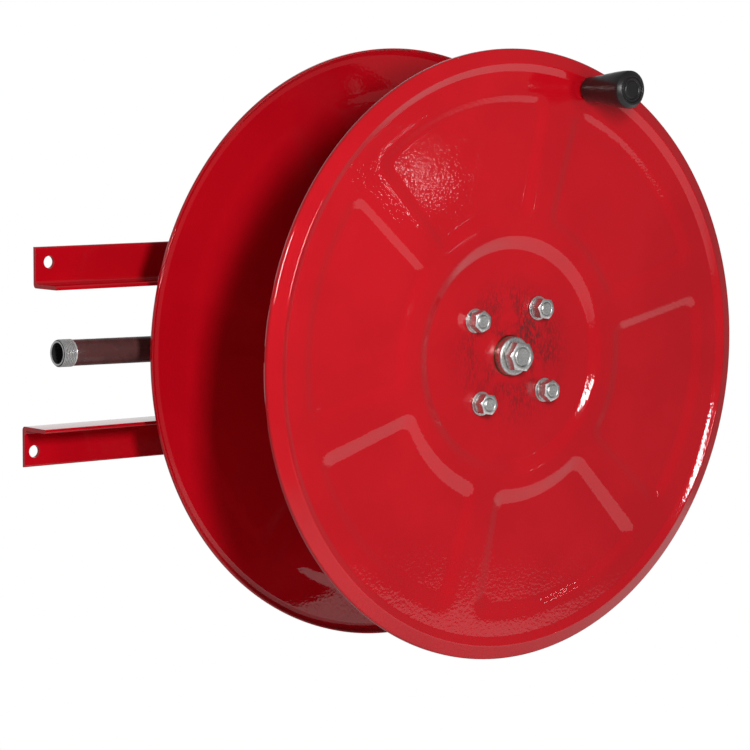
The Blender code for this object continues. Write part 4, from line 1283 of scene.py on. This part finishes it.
def dress_hub():
    low, high = span("hub")
    flange = half_width("hub")
    outlet = middle("hose_tail")
    boss_end = -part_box("hose_outlet")[0].x - OUTLET_R - OUTLET_BEND
    profile = [(HUB_INNER_R, low), (flange, low), (flange, low + HUB_FLANGE_T),
               (HUB_TUBE_R, low + HUB_FLANGE_T), (HUB_TUBE_R, high - HUB_FLANGE_T),
               (flange, high - HUB_FLANGE_T), (flange, high), (HUB_INNER_R, high)]
    spool = turned(eased(profile, 0.0012), 96)
    beyond = (-0.1, 0, outlet.z)
    socket = (-boss_end + OUTLET_SOCKET, 0, outlet.z)
    tools = [(rod(BOSS_R, (-HUB_INNER_R - 0.002, 0, outlet.z), (-boss_end, 0, outlet.z)), "UNION"),
             (rod(OUTLET_SOCKET_R, socket, beyond), "DIFFERENCE"),
             (rod(OUTLET_BORE_R, (0, 0, outlet.z), beyond), "DIFFERENCE")]
    for x, y in bolt_centres:
        tools.append((rod(BOLT_HOLE_R, (x, y, low - 0.01), (x, y, high + 0.01), 32), "DIFFERENCE"))
    dress("hub", carve(spool, tools))


def dress_bush(node, flange_first):
    low, high = span(node)
    bore, flange = JOURNAL_R + PLAY, half_width(node)
    if flange_first:
        step = low + BUSH_RIM
        outside = [(flange, low), (flange, step), (BUSH_R, step), (BUSH_R, high)]
    else:
        step = high - BUSH_RIM
        outside = [(BUSH_R, low), (BUSH_R, step), (flange, step), (flange, high)]
    dress(node, turned(eased([(bore, low), *outside, (bore, high)], 0.0003)))


def dress_seal(node):
    low, high = span(node)
    thick = (high - low) / 2
    ring = half_width(node) - thick
    turns = [tau * step / 16 for step in range(16)]
    section = [(ring + thick * cos(a), (low + high) / 2 + thick * sin(a)) for a in turns]
    dress(node, turned(section))


dress_hub()
dress_bush("front_bush", False)
dress_bush("rear_bush", True)
dress_seal("front_seal_ring")
dress_seal("rear_seal_ring")
print("hub from the wall in mm:", [round(value * 1e3, 1) for value in span("hub")])

# %% Hose outlet and tail
TAIL_BORE_R = 0.0072
BARB_R = 0.011
BARB_ROOT_R = 0.0095
BARBS = 3
BARB_SLOPE = 0.7
TAIL_COLLAR_R = 0.0145
TAIL_COLLAR = 0.008
TAIL_SPIGOT = 0.008


def bent_pipe(path, radius, bore, steps=48):
    """Wall of a pipe along a path in the plane of x and y."""
    outer, inner = [], []
    turns = [tau * step / steps for step in range(steps)]
    outward = Vector((0, 0, 1))
    for number, point in enumerate(path):
        before = path[max(number - 1, 0)]
        after = path[min(number + 1, len(path) - 1)]
        line = (after - before).normalized()
        side = Vector((line.y, -line.x, 0))
        for reach, rings in ((radius, outer), (bore, inner)):
            rings.append([point + reach * (cos(a) * side + sin(a) * outward) for a in turns])
    return skin(outer + list(reversed(inner)))


def dress_outlet():
    low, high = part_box("hose_outlet")
    out = middle("hose_outlet").z
    reach = -low.x - OUTLET_R
    turn = reach - OUTLET_BEND
    path = [Vector((high.x, 0, out))]
    bend = arc((-turn, -OUTLET_BEND), OUTLET_BEND, pi / 2, pi, 20)
    path += [Vector((*point, out)) for point in bend]
    path += [Vector((-reach, low.z, out))]
    dress("hose_outlet", bent_pipe(path, OUTLET_R, OUTLET_BORE_R))
    tail_low, tail_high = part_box("hose_tail")
    end, start = -tail_low.z, -tail_high.z
    collar = start + TAIL_SPIGOT
    neck = collar + TAIL_COLLAR
    pitch = (end - neck) / BARBS
    spigot = OUTLET_BORE_R - 2 * PLAY
    profile = [(TAIL_BORE_R, start), (spigot, start), (spigot, collar), (TAIL_COLLAR_R, collar),
               (TAIL_COLLAR_R, neck), (BARB_ROOT_R, neck)]
    for barb in reversed(range(BARBS)):
        edge = end - (barb + BARB_SLOPE) * pitch
        profile += [(BARB_ROOT_R, edge), (BARB_R, edge), (BARB_ROOT_R, end - barb * pitch)]
    profile += [(TAIL_BORE_R, end)]
    place = REEL @ Matrix.Translation((-reach, 0, out)) @ Matrix.Rotation(pi / 2, 4, "X")
    dress("hose_tail", turned(eased(profile, 0.0003, 2)), place)


dress_outlet()
still_plain = [node for node, part in frame["nodes"].items() if not part.hide_render]
print("parts still shown as they came:", still_plain)

# %% [markdown]
# ## Light and floor
# The main lamp is a soft rectangle in front and to the left. The front disc throws its shadow on the
# rear disc down and to the right, and the width of that shadow's edge gives the size of the lamp. A
# tall narrow lamp in front draws the long thin glints on the rim's bead and on the hub's wall, and a
# very small one at the right leaves a faint glow on a panel. Soft light from the left fills the rest.
# Gloss paint shows what stands round it, so the room counts too: white behind the reel, and darker in
# front, above and at both sides. The floor lies below the hung reel, takes its shadow, and fades
# into the white of the background.

# %% Lamps
KEY_HEADING = radians(17.8)
KEY_RISE = radians(19.5)
KEY_DISTANCE = 1.3
KEY_WIDTH = 0.20
KEY_HEIGHT = 0.34
KEY_POWER = 14.1
ACCENT_PLACE = Vector((0.115, -1.82, 0.28))
ACCENT_WIDTH = 0.09
ACCENT_HEIGHT = 0.34
ACCENT_POWER = 4.2
GLINT_PLACE = Vector((1.15, -1.80, 0.10))
GLINT_WIDTH = 0.016
GLINT_HEIGHT = 0.026
GLINT_POWER = 0.03


def key_place():
    """Place of the main lamp, measured from the left edge of the front disc."""
    edge = REEL @ Vector((-DISC_R, 0, front_field))
    level = cos(KEY_RISE)
    toward = Vector((-sin(KEY_HEADING) * level, -cos(KEY_HEADING) * level, sin(KEY_RISE)))
    return edge + KEY_DISTANCE * toward


def make_lamp(name, place, width, height, power):
    """Soft rectangular lamp that faces the middle of the front disc."""
    data = bpy.data.lights.new(name, "AREA")
    data.shape = "RECTANGLE"
    data.size = width
    data.size_y = height
    data.energy = power
    lamp = put(name, data)
    aim = REEL @ Vector((0, 0, front_field)) - place
    turn = aim.to_track_quat("-Z", "Y").to_matrix().to_4x4()
    lamp.matrix_world = Matrix.Translation(place) @ turn
    return lamp


lamps = [make_lamp("key", key_place(), KEY_WIDTH, KEY_HEIGHT, KEY_POWER),
         make_lamp("accent", ACCENT_PLACE, ACCENT_WIDTH, ACCENT_HEIGHT, ACCENT_POWER),
         make_lamp("glint", GLINT_PLACE, GLINT_WIDTH, GLINT_HEIGHT, GLINT_POWER)]
for lamp in lamps:
    print(lamp.name, "at", [round(value, 2) for value in lamp.matrix_world.translation])

# %% Room and floor
ROOM_FILL = 0.10
SIDE_FILL = 0.42
ROOM_FRONT = 0.21
ROOM_ABOVE = 0.25
ROOM_LEFT = 0.16
ROOM_RIGHT = 0.2
BEHIND = (-0.42, 0.10)
OVERHEAD = (0.15, 0.55)
AT_LEFT = (-0.75, -0.2)
AT_RIGHT = (0.55, 0.85)
FILL_FROM_LEFT = (-0.7, -0.2)
FLOOR_DROP = 0.45
FLOOR_RADIUS = 3.2
FLOOR_FADE_FROM = 0.45
FLOOR_FADE_TO = 1.15
FLOOR_PALE = (0.86, 0.86, 0.86, 1)
FLOOR_DIM = 0.12
DIM_LEFT = (-0.3, 0.3)
DIM_RIGHT = (1.7, 2.3)
DIM_BACK = (-0.1, 0.3)


def make_room():
    """Even fill for the surfaces, and white for what the camera and the gloss see behind."""
    world = bpy.data.worlds.new("room")
    scene.world = world
    world.use_nodes = True
    tree = world.node_tree
    tree.nodes.clear()
    path = add(tree, "LightPath", {}).outputs
    heading = add(tree, "TexCoord", {}).outputs["Generated"]
    across, depth, upward = add(tree, "SeparateXYZ", {0: heading}).outputs
    behind = times(tree, ramp(tree, depth, *BEHIND), ramp(tree, upward, *OVERHEAD, 1.0, ROOM_ABOVE),
                   ramp(tree, across, *AT_LEFT, ROOM_LEFT, 1.0),
                   ramp(tree, across, *AT_RIGHT, 1.0, ROOM_RIGHT))
    behind = math(tree, "MAXIMUM", behind, ROOM_FRONT)
    from_left = ramp(tree, across, *FILL_FROM_LEFT, SIDE_FILL, ROOM_FILL)
    seen = math(tree, "MAXIMUM", path["Is Camera Ray"], path["Is Transmission Ray"])
    level = math(tree, "MAXIMUM", seen, times(tree, path["Is Glossy Ray"], behind))
    direct = math(tree, "MAXIMUM", seen, path["Is Glossy Ray"])
    fill_light = add(tree, "Background", {"Color": (1, 1, 1, 1), "Strength": from_left})
    shown = add(tree, "Background", {"Color": (1, 1, 1, 1), "Strength": level})
    chosen = add(tree, "MixShader", {0: direct, 1: fill_light.outputs[0], 2: shown.outputs[0]})
    add(tree, "OutputWorld", {"Surface": chosen.outputs[0]})


def make_floor():
    """Pale round floor that keeps the shadow near the reel and turns white further out."""
    low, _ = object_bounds()
    work = bmesh.new()
    bmesh.ops.create_circle(work, cap_ends=True, segments=96, radius=FLOOR_RADIUS)
    mesh = mesh_from(work, "floor")
    floor = put("floor", mesh)
    floor.location = (0, 0, low.z - FLOOR_DROP)
    material = bpy.data.materials.new("pale_floor")
    material.use_nodes = True
    tree = material.node_tree
    tree.nodes.clear()
    place = add(tree, "TexCoord", {}).outputs["Object"]
    away = ramp(tree, axis_distance(tree, place, 0, 1), FLOOR_FADE_FROM, FLOOR_FADE_TO)
    path = add(tree, "LightPath", {}).outputs
    across, depth, _ = add(tree, "SeparateXYZ", {0: place}).outputs
    # Painted shade in the reflections: for glossy rays the floor's white is dimmed at the left, behind and
    # far to the right.
    mirrored = times(tree, path["Is Glossy Ray"], ramp(tree, across, *DIM_LEFT, FLOOR_DIM, 1.0),
                     ramp(tree, depth, *DIM_BACK, 1.0, FLOOR_DIM),
                     ramp(tree, across, *DIM_RIGHT, 1.0, FLOOR_DIM))
    direct = math(tree, "MAXIMUM", path["Is Camera Ray"], path["Is Transmission Ray"])
    looked_at = math(tree, "MAXIMUM", mirrored, direct)
    pale = add(tree, "BsdfDiffuse", {"Color": FLOOR_PALE})
    white = add(tree, "Emission", {"Color": (1, 1, 1, 1), "Strength": 1.0})
    share = times(tree, away, looked_at)
    chosen = add(tree, "MixShader", {0: share, 1: pale.outputs[0], 2: white.outputs[0]})
    add(tree, "OutputMaterial", {"Surface": chosen.outputs[0]})
    mesh.materials.append(material)
    floor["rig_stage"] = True
    return floor


make_room()
floor = make_floor()
scene.view_settings.view_transform = "Standard"
print("floor height:", round(floor.location.z, 3))
